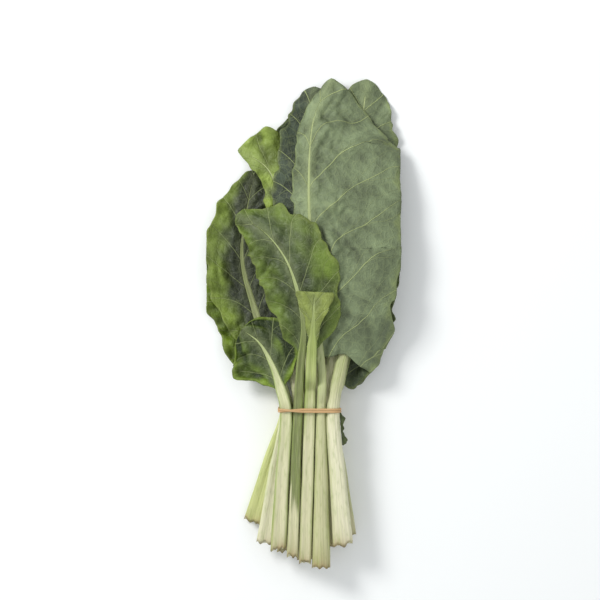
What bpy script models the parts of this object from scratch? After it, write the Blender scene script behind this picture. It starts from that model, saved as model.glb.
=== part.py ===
"""A bunch of Swiss chard, tied with a rubber band and lying on a table.

Thirteen leaves grow from thirteen cut stalks. Each leaf is two solids: the pale stalk, which
runs on as the midrib, and the green blade, which has a slot for the midrib. The leaves are laid
one after the other, from the table up, and each is lifted clear of what lies under it.

+X is to the right of the bunch, +Y points to the leaf tips and +Z is up from the table.
All sizes are in millimetres until a mesh is made.
"""

import bmesh
import bpy
import numpy as np
from mathutils import Vector

METRE = 0.001

# Driving dimensions of the bunch
BLADE_THICKNESS = 0.8
STALK_THICKEST = 9.4
SIDE_LEFT = -91.0
SIDE_RIGHT = 90.0
BAND_Y = -83.0
BAND_RADIUS = 0.85
BAND_PITCH = 2.1
BAND_GAP = 0.7
BAND_CROSS_X = -12.0
BAND_CROSSING = 0.085

# Gaps between pieces: the midrib in its slot, stalk on stalk, and blade over blade
SLOT_GAP = 0.5
TOUCH_GAP = 0.45
CLEARANCE = 1.8
SOFT_BLEND = 1.2

# Heights of the three rows of stalks, at the cut ends and under the band
ROW_BUTT_Z = (6.0, 18.3, 30.2)
ROW_TIE_Z = (8.8, 20.6, 31.6)
RESTING_LENGTH = 60.0

# Above the band a stalk keeps its row for the first length, and until the second below the blade
FIRM_ABOVE_BAND = 6.0
LETTING_GO = 44.0

# A stalk's height is smoothed over this many steps each way, and again so many times
FIT_RADIUS = 5
FIT_ROUNDS = 24

# It clears what lies within this distance of its sides, and its blade within the next one, from
# a little before the blade's base. The height is read at this many places across
STALK_MARGIN = 1.0
BLADE_MARGIN = 5.0
BLADE_AHEAD = 3.0
FIT_PLACES = 9

# Once it leaves its row, a stalk keeps clear of what lies below after this share of its rise
SURE_SHARE = 1 / 3

# The map of heights of what is already laid, a grid over the table
MAP_CELL = 2.5
MAP_LOW = np.array([-150.0, -260.0])
MAP_SHAPE = (120, 208)

# Density of the splines, and of the meshes, which is greater at a blade's tip and at a bend
SPLINE_DENSITY = 40
SPINE_STEP = 1.0
BLADE_ROWS = 16
ACROSS = np.array([0.0, 0.26, 0.54, 0.8, 1.0])
RINGS_BELOW_BAND = 5
RING_STEP = 8.0
BAND_POINTS = 100
BEND_DENSITY = 16.0
TIP_DENSITY = 1.2
TIP_SHARE = 0.25
PLAIN_DENSITY = 1.35

# Section of a stalk, as (share of half the width, share of the thickness): first the rounded
# back, with a flat in its middle, and then the grooved face
BACK_SHARE = 0.62
FACE_SHARE = 0.34
GROOVE_SHARE = 0.2
SECTION = np.array([
    (1.0, 0.0),
    (0.6, BACK_SHARE),
    (-0.6, BACK_SHARE),
    (-1.0, 0.0),
    (-0.72, -FACE_SHARE),
    (-0.25, -GROOVE_SHARE),
    (0.25, -GROOVE_SHARE),
    (0.72, -FACE_SHARE),
])

# Thickness over width of a stalk, and of a midrib from this far above the blade's base. The
# stalk narrows to its neck at the base, and the midrib narrows on to the tip
STALK_FLATNESS = 0.72
RIB_FLATNESS = 0.5
FLATTENING = 30.0
NECK = 0.84
RIB_TAPER = 0.9
RIB_TAPER_POWER = 0.6

# The midrib ends at this share of the blade's length
RIB_END = 0.88

# Outlines: half-width along the midrib, as shares of the length and of the widest half-width
OUTLINE = (
    (0.0, 0.1), (0.04, 0.36), (0.09, 0.56), (0.17, 0.77), (0.3, 0.95), (0.45, 1.0),
    (0.62, 0.97), (0.77, 0.85), (0.88, 0.66), (0.95, 0.44), (0.985, 0.24), (1.0, 0.08),
)
POINTED = (
    (0.0, 0.1), (0.04, 0.36), (0.09, 0.56), (0.17, 0.77), (0.3, 0.95), (0.45, 1.0),
    (0.62, 0.93), (0.77, 0.76), (0.88, 0.53), (0.95, 0.34), (0.985, 0.19), (1.0, 0.08),
)
SLIM_BASE = (
    (0.0, 0.1), (0.1, 0.3), (0.22, 0.55), (0.36, 0.86), (0.5, 1.0), (0.68, 0.96),
    (0.82, 0.78), (0.93, 0.5), (0.98, 0.26), (1.0, 0.08),
)
SPOON = ((0.0, 0.15), (0.15, 0.26), (0.35, 0.4), (0.75, 0.8), (0.92, 1.0), (1.0, 0.92))

# Where a leaf has a shoulder, its base is fuller over this share of its length
SHOULDER_LENGTH = 0.3

# The margin: lobes as a share of the width and of a wave's length, with smaller ones on them,
# and how far the right half's waves run ahead of the left's
LOBE_DEPTH = 0.06
LOBE_LENGTH = 0.8
SMALL_LOBES = 0.4
SMALL_WAVES = 0.3
SMALLER_BY = 2.3
SIDE_SHIFT = 0.3
FULL_WAVE_REACH = 20.0

# The lean turns from the base's to the tip's over the first share of the length, and ends over
# the last share. It grows outwards with this power
LEAN_TURNS = 0.35
LEAN_ENDS = 0.3
LEAN_POWER = 1.5

# A margin past the side of the bunch bends down: what is left of its spread, and its drop
WALL_SPREAD = 0.1
WALL_DROP = 0.8

# Beyond this share of its width a blade rests on what lies below it, not on its midrib
FREE_OF_RIB = 0.25

# A blade is at least this wide beside its midrib
LEAST_BLADE = 1.2

# Triangles are sampled in this many parts, in as many rounds, and a corner counts for the
# samples where its weight is over this share
CLEAR_PARTS = 6
CLEAR_WEIGHT = 0.2

# How finely a sheet is sampled when it is laid on the map of heights
LAY_STEP = 2.0

# The loop of the band: its points, and how far its outward directions are smoothed
LOOP_POINTS = 400
LOOP_SMOOTH = 8

# Colours: sunlit blades, greyer blades, blades in the shade, and two kinds of stalk
BRIGHT = (0.16, 0.26, 0.05)
SAGE = (0.13, 0.2, 0.08)
DARK = (0.06, 0.1, 0.05)
CREAM = (0.66, 0.64, 0.4)
PALE_GREEN = (0.44, 0.52, 0.22)
RUBBER = (0.64, 0.42, 0.24)

# Each leaf, in the order in which they are laid.
#   row    which row of stalks, from the table up
#   butt   x and y of the cut end, and the width there
#   tie    x under the band, and the width there
#   spine  points of the midrib above the band: x, y and the height over the closest fit
#   base   how far above the band the blade starts, along the stalk
#   firm   how far above the band the stalk keeps its row, if not until it nears the blade
#   left, right   widest half-width, and the angles of that half at the midrib and the margin
#   lean   how far the margin runs ahead of the midrib, at the base and at the tip
#   ruffle height, length and start of the waves along the margin
#   shoulder  how full the blade is at its base, from 0, as in the outline, to 1
#   back   1 where the rounded back of the midrib faces up, -1 where it faces down
LEAVES = (
    dict(
        name="back_leaf", row=0, butt=(-10, -214, 19), tie=(-2, 12.8), back=-1, base=78,
        spine=((0, -45, 1), (4, 20, 1), (8, 100, 0), (9, 165, 0), (10, 200, 3)),
        left=(58, -6, -9), right=(62, -8, -8), lean=(-0.4, 0.3), ruffle=(4.4, 62, 0.1),
        blade=DARK, stalk=CREAM,
    ),
    dict(
        name="west_low_leaf", row=0, butt=(-48, -190, 17), tie=(-15.8, 12.4), back=-1, base=36,
        spine=((-27, -50, 1), (-45, -12, 1), (-61, 35, 1), (-68, 86, 2)),
        left=(35, 6, 20), right=(38, 0, -4), lean=(-1.1, 0.25), ruffle=(5.7, 44, 0.4),
        blade=BRIGHT, stalk=PALE_GREEN,
    ),
    dict(
        name="east_back_leaf", row=0, butt=(14, -218, 18), tie=(11.8, 12.6), back=-1, base=75,
        spine=((22, -45, 1), (37, 20, 1), (46, 90, 1), (52, 178, 2)),
        left=(38, 0, -4), right=(38, -4, -6), lean=(-0.4, 0.3), ruffle=(4.5, 58, 0.7),
        blade=DARK, stalk=CREAM,
    ),
    dict(
        name="east_low_leaf", row=0, butt=(42, -203, 16), tie=(25.4, 12.4), back=-1, base=30,
        spine=((34, -56, 1), (46, -18, 1), (58, 32, 1), (63, 104, 2)),
        left=(11, 0, -4), right=(31, 4, 12), lean=(-1.1, 0.25), ruffle=(4.5, 46, 0.2),
        firm=20,
        blade=DARK, stalk=CREAM,
    ),
    dict(
        name="west_leaf", row=1, butt=(-36, -208, 16), tie=(-16.3, 11.4), back=-1, base=62,
        spine=((-26, -45, 1), (-46, 10, 1), (-58, 62, 1), (-47, 142, 3)),
        left=(36, 6, 14), right=(38, 0, -4), lean=(-0.4, 0.05), ruffle=(6.0, 47, 0.9),
        outline=POINTED,
        blade=BRIGHT, stalk=CREAM,
    ),
    dict(
        name="west_top_leaf", row=1, butt=(-17, -216, 15.5), tie=(-3.9, 11.6), back=-1, base=80,
        spine=((-9, -40, 1), (-17, 40, 1), (-21, 102, 1), (-34, 143, 2), (-62, 161, 3)),
        left=(13, 0, -8), right=(50, 0, -2), lean=(-0.4, 0.1), ruffle=(5.5, 50, 0.3),
        blade=BRIGHT, stalk=CREAM,
    ),
    dict(
        name="crown_leaf", row=1, butt=(2, -222, 17), tie=(8.6, 12), back=1, base=84,
        spine=((7, -40, 1), (0, 50, 1), (0, 140, 1), (10, 221, 3)),
        left=(27, -2, -10), right=(48, 0, -8), lean=(-0.4, 0.3), ruffle=(4.5, 60, 0.55),
        blade=DARK, stalk=CREAM,
    ),
    dict(
        name="east_top_leaf", row=1, butt=(25, -211, 16), tie=(21.2, 12), back=1, base=78,
        spine=((27, -40, 1), (41, 50, 1), (50, 140, 1), (60, 228, 3)),
        left=(40, 0, -6), right=(38, -4, -16), lean=(-0.4, 0.3), ruffle=(4.5, 60, 0.15),
        blade=SAGE, stalk=CREAM,
    ),
    dict(
        name="east_leaf", row=2, butt=(36.5, -208, 18.5), tie=(27.4, 12.2), back=1, base=52,
        spine=((34, -45, 1), (48, 10, 1), (58, 80, 1), (62, 170, 2)),
        left=(42, 0, -6), right=(34, -6, -30), lean=(-0.4, 0.3), ruffle=(4.5, 54, 0.6),
        blade=SAGE, stalk=CREAM,
    ),
    dict(
        name="front_leaf", row=2, butt=(16.5, -229, 17.5), tie=(16.4, 8.2), back=1, base=50,
        spine=((17, -50, 1), (13, 0, 2), (7, 70, 3), (5, 130, 3), (10, 190, 3), (27, 228, 3)),
        left=(19, -20, -55), right=(99, 4, -36), lean=(-0.25, 0.25), ruffle=(4.2, 66, 0.85),
        shoulder=0.45,
        blade=SAGE, stalk=CREAM,
    ),
    dict(
        name="south_west_leaf", row=2, butt=(-23.4, -212, 14.2), tie=(-16.7, 11), back=-1, base=24,
        spine=((-22, -62, 1), (-30, -40, 3), (-42, -20, 3), (-58, -8, 2)),
        left=(37, -2, -20), right=(34, 2, -12), lean=(-0.45, -0.1), ruffle=(3.9, 38, 0.6),
        outline=SLIM_BASE,
        blade=SAGE, stalk=PALE_GREEN,
    ),
    dict(
        name="folded_leaf", row=2, butt=(-10.5, -219, 10.2), tie=(-5.3, 8.6), back=-1, base=55,
        spine=((-3, -45, 1), (0, -8, 2), (-5, 25, 3), (-17, 58, 4), (-38, 84, 3), (-63, 99, 2)),
        left=(31, -2, -14), right=(42, 0, -16), lean=(-0.1, 0.2), ruffle=(5.2, 42, 0.5),
        outline=POINTED,
        blade=BRIGHT, stalk=PALE_GREEN,
    ),
    dict(
        name="young_leaf", row=2, butt=(1.4, -225, 11.2), tie=(5.8, 10.6), back=-1, base=62,
        spine=((7, -50, 1), (8, -22, 1), (9, 5, 1), (10, 27, 1)),
        left=(17, 4, -6), right=(19, 4, -6), lean=(-0.1, 0.05), ruffle=(1.6, 40, 0.0),
        outline=SPOON,
        blade=BRIGHT, stalk=PALE_GREEN,
    ),
)


def smoothstep(value):
    """0 below 0, 1 above 1, and a smooth rise between them."""
    t = np.clip(value, 0.0, 1.0)
    return t * t * (3.0 - 2.0 * t)


def soft_maximum(a, b):
    """The larger of two heights, with the corner between them rounded off."""
    return 0.5 * (a + b + np.sqrt((a - b) ** 2 + SOFT_BLEND**2))


def arc_length(curve):
    """Distance from the start of a polyline to each of its points."""
    steps = np.linalg.norm(np.diff(curve, axis=0), axis=1)
    return np.concatenate([[0.0], np.cumsum(steps)])


def spline(points, step=SPINE_STEP):
    """Points every step along a centripetal Catmull-Rom curve through the given points."""
    given = np.array(points, float)
    knots = np.concatenate((2 * given[:1] - given[1:2], given, 2 * given[-1:] - given[-2:-1]))
    made = []
    for p0, p1, p2, p3 in zip(knots, knots[1:], knots[2:], knots[3:]):
        t1 = np.linalg.norm(p1 - p0) ** 0.5
        t2 = t1 + np.linalg.norm(p2 - p1) ** 0.5
        t3 = t2 + np.linalg.norm(p3 - p2) ** 0.5
        t = np.linspace(t1, t2, SPLINE_DENSITY, endpoint=False)[:, None]
        a1 = (t1 - t) / t1 * p0 + t / t1 * p1
        a2 = (t2 - t) / (t2 - t1) * p1 + (t - t1) / (t2 - t1) * p2
        a3 = (t3 - t) / (t3 - t2) * p2 + (t - t2) / (t3 - t2) * p3
        b1 = (t2 - t) / t2 * a1 + t / t2 * a2
        b2 = (t3 - t) / (t3 - t1) * a2 + (t - t1) / (t3 - t1) * a3
        made.append((t2 - t) / (t2 - t1) * b1 + (t - t1) / (t2 - t1) * b2)
    curve = np.concatenate(made + [given[-1:]])
    along = arc_length(curve)
    at = np.linspace(0.0, along[-1], int(along[-1] / step) + 1)
    return np.stack([np.interp(at, along, curve[:, k]) for k in range(curve.shape[1])], axis=1)


def moved_copies(values, radius, axis=0):
    """Copies of an array, moved by up to that many places each way, its ends drawn out."""
    width = [(0, 0)] * values.ndim
    width[axis] = (radius, radius)
    padded = np.pad(values, width, mode="edge")
    count = values.shape[axis]
    return [np.take(padded, range(k, k + count), axis) for k in range(2 * radius + 1)]


def blurred(grid, radius):
    """The grid averaged over a square of that many cells each way."""
    for axis in range(grid.ndim):
        grid = np.mean(moved_copies(grid, radius, axis), axis=0)
    return grid


def raised(grid, radius):
    """The grid where each cell takes the highest value within that many cells."""
    for axis in range(grid.ndim):
        grid = np.max(moved_copies(grid, radius, axis), axis=0)
    return grid


class Pile:
    """The heights of what has been laid on the table so far."""

    def __init__(self):
        self.top = np.full(MAP_SHAPE, BLADE_THICKNESS / 2 - CLEARANCE)
        self.settle()

    def settle(self):
        """Works out the floors that the next leaf follows: a close one and a smooth one."""
        self.near = raised(self.top, 1)
        self.smooth = blurred(blurred(raised(self.top, 3), 1), 1)

    def cell(self, xy):
        at = (np.asarray(xy) - MAP_LOW) / MAP_CELL
        return np.clip(at, 0.0, np.array(MAP_SHAPE) - 1.001)

    def read(self, floor, xy):
        """The floor's height at points of the table, between its cells."""
        at = self.cell(xy)
        low = at.astype(int)
        share = at - low
        i, j = low[..., 0], low[..., 1]
        u, v = share[..., 0], share[..., 1]
        return (
            floor[i, j] * (1 - u) * (1 - v)
            + floor[i + 1, j] * u * (1 - v)
            + floor[i, j + 1] * (1 - u) * v
            + floor[i + 1, j + 1] * u * v
        )

    def lay(self, grid, thickness):
        """Adds a sheet, given as a grid of points, sampled finely between them."""
        longest = [np.linalg.norm(np.diff(grid, axis=k), axis=-1).max() for k in (0, 1)]
        first, second = (np.linspace(0.0, 1.0, int(step / LAY_STEP) + 2) for step in longest)
        corners = (grid[:-1, :-1], grid[1:, :-1], grid[:-1, 1:], grid[1:, 1:])
        for u in first:
            for v in second:
                shares = ((1 - u) * (1 - v), u * (1 - v), (1 - u) * v, u * v)
                points = sum(s * c for s, c in zip(shares, corners)).reshape(-1, 3)
                cells = np.round(self.cell(points[:, :2])).astype(int)
                np.maximum.at(self.top, (cells[:, 0], cells[:, 1]), points[:, 2] + thickness)
        self.settle()


class Spine:
    """The line of a leaf from the cut end to the tip, with a frame at each point."""

    def __init__(self, leaf, pile):
        x, y, self.butt_width = leaf["butt"]
        tie_x, self.tie_width = leaf["tie"]
        self.back = leaf["back"]
        above = np.array(leaf["spine"], float)
        row = leaf["row"]
        middle = ((x + tie_x) / 2, (y + BAND_Y) / 2, 0.0)
        line = spline([(x, y, 0.0), middle, (tie_x, BAND_Y, 0.0), *above])
        at = arc_length(line)
        self.tie_at = np.hypot(x - tie_x, y - BAND_Y)
        self.base_at = self.tie_at + leaf["base"]
        self.end_at = at[-1]
        over = np.where(at < self.base_at, above[0, 2], line[:, 2])
        rest = self.depth_below(at) if row == 0 else ROW_BUTT_Z[row]
        held = smoothstep((at - RESTING_LENGTH) / (self.tie_at - RESTING_LENGTH))
        stiff = rest + (ROW_TIE_Z[row] - rest) * held
        firm = leaf.get("firm", leaf["base"] - LETTING_GO)
        leaves_row = self.tie_at + max(firm, FIRM_ABOVE_BAND)
        free = smoothstep((at - leaves_row) / (self.base_at - leaves_row))
        closest = self.closest_fit(line, at, pile)
        line[:, 2] = stiff + (closest + over - stiff) * free
        sure = smoothstep((at - leaves_row) / (self.base_at - leaves_row) / SURE_SHARE)
        line[:, 2] += sure * (soft_maximum(line[:, 2], closest) - line[:, 2])
        self.line, self.at = line, at
        self.frames()

    def closest_fit(self, line, at, pile):
        """The least height at which the stalk and the blade beside it clear what lies below."""
        forward = np.gradient(line[:, :2], axis=0)
        forward /= np.linalg.norm(forward, axis=1)[:, None] + 1e-9
        side = np.stack([forward[:, 1], -forward[:, 0]], axis=1)
        stalk_half = self.width(at) / 2 + STALK_MARGIN
        blade_half = stalk_half + BLADE_MARGIN
        bladed = at > self.base_at - BLADE_AHEAD
        need = self.depth_below(at)
        for share in np.linspace(-1.0, 1.0, FIT_PLACES):
            under = pile.read(pile.near, line[:, :2] + side * (stalk_half * share)[:, None])
            need = np.maximum(need, under + TOUCH_GAP + self.depth_below(at))
            under = pile.read(pile.near, line[:, :2] + side * (blade_half * share)[:, None])
            need = np.where(bladed, np.maximum(need, under + CLEARANCE), need)
        fit = need
        for _ in range(FIT_ROUNDS):
            fit = np.maximum(blurred(fit, FIT_RADIUS), need)
        return blurred(fit, 2)

    def thickness(self, at):
        """Thickness of the stalk and the midrib at a distance from the cut end."""
        flatter = smoothstep((at - self.tie_at) / (self.base_at - self.tie_at + FLATTENING))
        flatness = STALK_FLATNESS + (RIB_FLATNESS - STALK_FLATNESS) * flatter
        return np.minimum(flatness * self.width(at), STALK_THICKEST)

    def width(self, at):
        """Width of the stalk, and past the blade's base of the midrib."""
        stalk = np.interp(at, (0.0, self.tie_at), (self.butt_width, self.tie_width))
        share = np.clip((at - self.base_at) / (self.end_at - self.base_at), 0.0, 1.0)
        neck = np.interp(at, (self.tie_at, self.base_at), (1.0, NECK))
        return stalk * neck * (1.0 - RIB_TAPER * share**RIB_TAPER_POWER)

    def depth_below(self, at):
        """How far the stalk reaches below its own line."""
        return self.thickness(at) * (BACK_SHARE if self.back < 0 else FACE_SHARE)

    def frames(self):
        """Across and up directions, carried along the line without twisting."""
        tangent = np.gradient(self.line, axis=0)
        tangent /= np.linalg.norm(tangent, axis=1)[:, None]
        across = np.zeros_like(tangent)
        side = np.array([1.0, 0.0, 0.0])
        for k, forward in enumerate(tangent):
            side = side - forward * (side @ forward)
            side /= np.linalg.norm(side)
            across[k] = side
        self.tangent, self.across = tangent, across
        self.up = np.cross(across, tangent)

    def frame(self, at):
        """(points, across, up) at distances from the cut end, straight on past both ends."""
        inside = np.clip(at, 0.0, self.end_at)

        def read(rows):
            return np.stack([np.interp(inside, self.at, rows[:, k]) for k in range(3)], axis=-1)

        points = read(self.line) + read(self.tangent) * (at - inside)[..., None]
        return points, read(self.across), read(self.up)

    def share(self, at):
        """Distance along the blade, as a share of its length."""
        return (at - self.base_at) / (self.end_at - self.base_at)

    def rows(self, count):
        """Distances of the blade's rows, closer together where the line bends and at the tip."""
        part = self.at >= self.base_at
        at = self.at[part]
        bend = np.linalg.norm(np.gradient(self.tangent[part], at, axis=0), axis=1)
        near_tip = smoothstep(1.0 - (1.0 - self.share(at)) / TIP_SHARE)
        density = 1.0 + BEND_DENSITY * blurred(bend, 2) + TIP_DENSITY * near_tip
        summed = np.concatenate([[0.0], np.cumsum(density[1:] * np.diff(at))])
        plain = PLAIN_DENSITY * (at[-1] - at[0])
        total = max(count, int(round(count * summed[-1] / plain)))
        return np.interp(np.linspace(0.0, summed[-1], total + 1), summed, at)


def margin(leaf, share, rows, side, inner):
    """How far the margin is from the midrib at each row, and how far it runs ahead of the row."""
    widest = leaf["left" if side < 0 else "right"][0]
    _, wave, phase = leaf["ruffle"]
    lobes = 2 * np.pi * (rows / (LOBE_LENGTH * wave) + phase + SIDE_SHIFT * side)
    scallop = 1.0 + LOBE_DEPTH * (np.sin(lobes) + SMALL_LOBES * np.sin(SMALLER_BY * lobes))
    outline = np.interp(share, *np.transpose(leaf.get("outline", OUTLINE)))
    fuller = leaf.get("shoulder", 0.0) * np.clip(1.0 - share / SHOULDER_LENGTH, 0.0, 1.0)
    outline += (1.0 - outline) * fuller
    reach = np.maximum(outline * widest * scallop, inner + LEAST_BLADE)
    base_lean, tip_lean = leaf["lean"]
    lean = base_lean + (tip_lean - base_lean) * smoothstep(share / LEAN_TURNS)
    return reach, lean * reach * smoothstep((1.0 - share) / LEAN_ENDS)


def half_blade(leaf, spine, pile, rows, side):
    """Grid of points of the left (-1) or right (1) half, from the midrib to the margin."""
    _, start_angle, end_angle = leaf["left" if side < 0 else "right"]
    height, wave, phase = leaf["ruffle"]
    share = spine.share(rows)
    inner = np.where(share > RIB_END, 0.0, spine.width(rows) / 2 + SLOT_GAP)
    reach, ahead = margin(leaf, share, rows, side, inner)
    f = ACROSS[None, :]
    out = inner[:, None] + (reach - inner)[:, None] * f
    forward = rows[:, None] + ahead[:, None] * f**LEAN_POWER
    angle = np.radians(start_angle + (end_angle - start_angle) * (f[:, 1:] + f[:, :-1]) / 2)
    step = np.diff(out, axis=1)
    start = np.zeros((len(rows), 1))
    flat = inner[:, None] + np.concatenate([start, np.cumsum(step * np.cos(angle), 1)], 1)
    lift = np.concatenate([start, np.cumsum(step * np.sin(angle), 1)], 1)
    turn = 2 * np.pi * (forward / wave + phase + SIDE_SHIFT * side)
    flow = np.sin(turn) + SMALL_WAVES * np.sin(SMALLER_BY * turn + 1.0)
    lift += height * f**2 * flow * smoothstep(reach / FULL_WAVE_REACH)[:, None]
    points, across, up = spine.frame(forward)
    grid = points + across * (side * flat)[..., None] + up * lift[..., None]
    for wall, sign in ((SIDE_LEFT, -1), (SIDE_RIGHT, 1)):
        past = np.maximum(sign * (grid[..., 0] - wall), 0.0)
        grid[..., 0] -= (1.0 - WALL_SPREAD) * sign * past
        grid[..., 2] -= WALL_DROP * past
    floor = pile.read(pile.smooth, grid[..., :2]) + CLEARANCE
    free = smoothstep(f / FREE_OF_RIB)
    grid[..., 2] += free * (soft_maximum(grid[..., 2], floor) - grid[..., 2])
    return grid


def lift_clear(points, triangles, pile):
    """Raises the corners of each triangle that comes too near to what lies under it."""
    corners = np.array(triangles)
    shares = [
        (i / CLEAR_PARTS, j / CLEAR_PARTS, 1 - (i + j) / CLEAR_PARTS)
        for i in range(CLEAR_PARTS + 1)
        for j in range(CLEAR_PARTS + 1 - i)
    ]
    for _ in range(CLEAR_PARTS):
        lift = np.zeros(len(points))
        for share in shares:
            at = sum(s * points[corners[:, k]] for k, s in enumerate(share))
            need = pile.read(pile.near, at[:, :2]) + CLEARANCE - at[:, 2]
            for k in range(3):
                if share[k] > CLEAR_WEIGHT:
                    np.maximum.at(lift, corners[:, k], need)
        points[:, 2] += lift


def blade_surface(leaf, spine, pile):
    """(points, triangles, halves) of the open sheet: two halves, joined past the midrib's end."""
    rows = spine.rows(BLADE_ROWS)
    halves = [half_blade(leaf, spine, pile, rows, side) for side in (-1, 1)]
    points, index = [], []
    for grid in halves:
        index.append(np.arange(grid[..., 0].size).reshape(grid.shape[:2]) + len(points))
        points.extend(grid.reshape(-1, 3))
    joined = spine.share(rows) > RIB_END
    index[1][joined, 0] = index[0][joined, 0]
    triangles = []
    for side, grid in enumerate(index):
        for j in range(grid.shape[0] - 1):
            for k in range(grid.shape[1] - 1):
                a, b = grid[j, k], grid[j, k + 1]
                c, d = grid[j + 1, k + 1], grid[j + 1, k]
                pair = [(a, b, c), (a, c, d)]
                triangles += pair if side else [t[::-1] for t in pair]
    points = np.array(points)
    lift_clear(points, triangles, pile)
    return points, triangles, [points[grid] for grid in index]


def stalk_rings(spine):
    """Rings of section points from the cut end to the end of the midrib."""
    rows = spine.rows(BLADE_ROWS)
    rib = rows[spine.share(rows) <= RIB_END]
    held = np.linspace(0.0, spine.tie_at, RINGS_BELOW_BAND)
    rising = np.arange(spine.tie_at + RING_STEP, spine.base_at - RING_STEP / 2, RING_STEP)
    at = np.concatenate([held, rising, rib])
    points, across, up = spine.frame(at)
    u = SECTION[:, 0] * spine.width(at)[:, None] / 2
    v = SECTION[:, 1] * spine.thickness(at)[:, None] * spine.back
    return points[:, None] + across[:, None] * u[..., None] + up[:, None] * v[..., None]


def make_material(name, colour, roughness):
    material = bpy.data.materials.new(name)
    material.use_nodes = True
    shader = material.node_tree.nodes["Principled BSDF"]
    shader.inputs["Base Color"].default_value = (*colour, 1.0)
    shader.inputs["Roughness"].default_value = roughness
    return material


def make_object(name, points, faces, colour, roughness):
    """A mesh object, turned from millimetres to metres, with its own material."""
    mesh = bpy.data.meshes.new(name)
    mesh.from_pydata([Vector(p) * METRE for p in points], [], [tuple(map(int, f)) for f in faces])
    built = bmesh.new()
    built.from_mesh(mesh)
    bmesh.ops.delete(built, geom=[v for v in built.verts if not v.link_faces], context="VERTS")
    built.to_mesh(mesh)
    built.free()
    mesh.shade_smooth()
    mesh.materials.append(make_material(name, colour, roughness))
    made = bpy.data.objects.new(name, mesh)
    bpy.data.collections["swiss_chard_bunch"].objects.link(made)
    return made


def make_blade(leaf, spine, pile):
    points, triangles, halves = blade_surface(leaf, spine, pile)
    blade = make_object(leaf["name"] + "_blade", points, triangles, leaf["blade"], 0.5)
    shell = blade.modifiers.new("thickness", "SOLIDIFY")
    shell.thickness = BLADE_THICKNESS * METRE
    shell.offset = 0.0
    for grid in halves:
        pile.lay(grid, BLADE_THICKNESS / 2)


def make_stalk(leaf, spine):
    """Makes the stalk with its midrib, and returns its rings."""
    rings = stalk_rings(spine)
    count, sides = rings.shape[:2]
    index = np.arange(count * sides).reshape(count, sides)
    faces = [
        (index[k, i], index[k, i - 1], index[k + 1, i - 1], index[k + 1, i])
        for k in range(count - 1)
        for i in range(sides)
    ]
    faces += [tuple(index[0]), tuple(index[-1][::-1])]
    if spine.back < 0:
        faces = [f[::-1] for f in faces]
    make_object(leaf["name"] + "_stalk", rings.reshape(-1, 3), faces, leaf["stalk"], 0.45)
    return rings


def convex_outline(points):
    """The corners of the convex outline of points in a plane, in order."""
    ordered = sorted(map(tuple, points))
    outline = []
    for run in (ordered, ordered[::-1]):
        side = []
        for p in run:
            while len(side) > 1:
                (ax, ay), (bx, by) = side[-2], side[-1]
                if (bx - ax) * (p[1] - ay) - (by - ay) * (p[0] - ax) > 0:
                    break
                side.pop()
            side.append(p)
        outline += side[:-1]
    return np.array(outline)


def section_at(rings, y):
    """Points (x, z) where the stalk's long edges pass a distance along the bunch."""
    found = []
    for edge in rings.transpose(1, 0, 2):
        k = int(np.argmax(edge[:, 1] > y))
        share = (y - edge[k - 1, 1]) / (edge[k, 1] - edge[k - 1, 1])
        found.append(edge[k - 1, [0, 2]] * (1 - share) + edge[k, [0, 2]] * share)
    return found


def loop_round(stalks):
    """(points, outward directions) of a taut loop round the stalks, in (x, z)."""
    places = (BAND_Y - BAND_PITCH, BAND_Y, BAND_Y + BAND_PITCH)
    sections = [p for rings in stalks for y in places for p in section_at(rings, y)]
    hull = convex_outline(sections)
    closed = np.concatenate([hull, hull[:1]])
    along = arc_length(closed)
    at = np.linspace(0.0, along[-1], LOOP_POINTS, endpoint=False)
    loop = np.stack([np.interp(at, along, closed[:, k]) for k in range(2)], axis=1)
    ahead = np.roll(loop, -1, axis=0) - np.roll(loop, 1, axis=0)
    out = np.stack([ahead[:, 1], -ahead[:, 0]], axis=1)
    out = sum(np.roll(out, k, axis=0) for k in range(-LOOP_SMOOTH, LOOP_SMOOTH + 1))
    out /= np.linalg.norm(out, axis=1)[:, None]
    return loop + out * (BAND_RADIUS + BAND_GAP), out


def band_route(stalks):
    """The rubber band's centre line: twice round the stalks, crossing itself once on top."""
    loop, out = loop_round(stalks)
    count = len(loop)
    on_top = loop[:, 1] > loop[:, 1].mean()
    away = np.abs(loop[:, 0] - BAND_CROSS_X) + np.where(on_top, 0.0, 1e3)
    start = int(np.argmin(away))
    turns = np.linspace(0.0, 2.0, BAND_POINTS, endpoint=False)
    spot = (start + np.round(turns * count).astype(int)) % count
    past = (turns + 0.5) % 1.0 - 0.5
    sign = np.where((turns + 0.5) % 2.0 < 1.0, 1.0, -1.0)
    y = BAND_Y + sign * BAND_PITCH / 2 * np.sin(np.clip(past / BAND_CROSSING, -1.0, 1.0) * np.pi / 2)
    over = np.where(sign > 0, 1.0 - smoothstep(np.abs(past) / BAND_CROSSING), 0.0) * BAND_PITCH
    flat = loop[spot] + out[spot] * over[:, None]
    return np.stack([flat[:, 0], y, flat[:, 1]], axis=1)


def make_band(stalks):
    route = band_route(stalks)
    curve = bpy.data.curves.new("band", "CURVE")
    curve.dimensions = "3D"
    curve.bevel_depth = BAND_RADIUS * METRE
    curve.bevel_resolution = 1
    strand = curve.splines.new("POLY")
    strand.points.add(len(route) - 1)
    for point, place in zip(strand.points, route):
        point.co = (*(place * METRE), 1.0)
    strand.use_cyclic_u = True
    curve.materials.append(make_material("band", RUBBER, 0.6))
    band = bpy.data.objects.new("band", curve)
    bpy.data.collections["swiss_chard_bunch"].objects.link(band)


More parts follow.
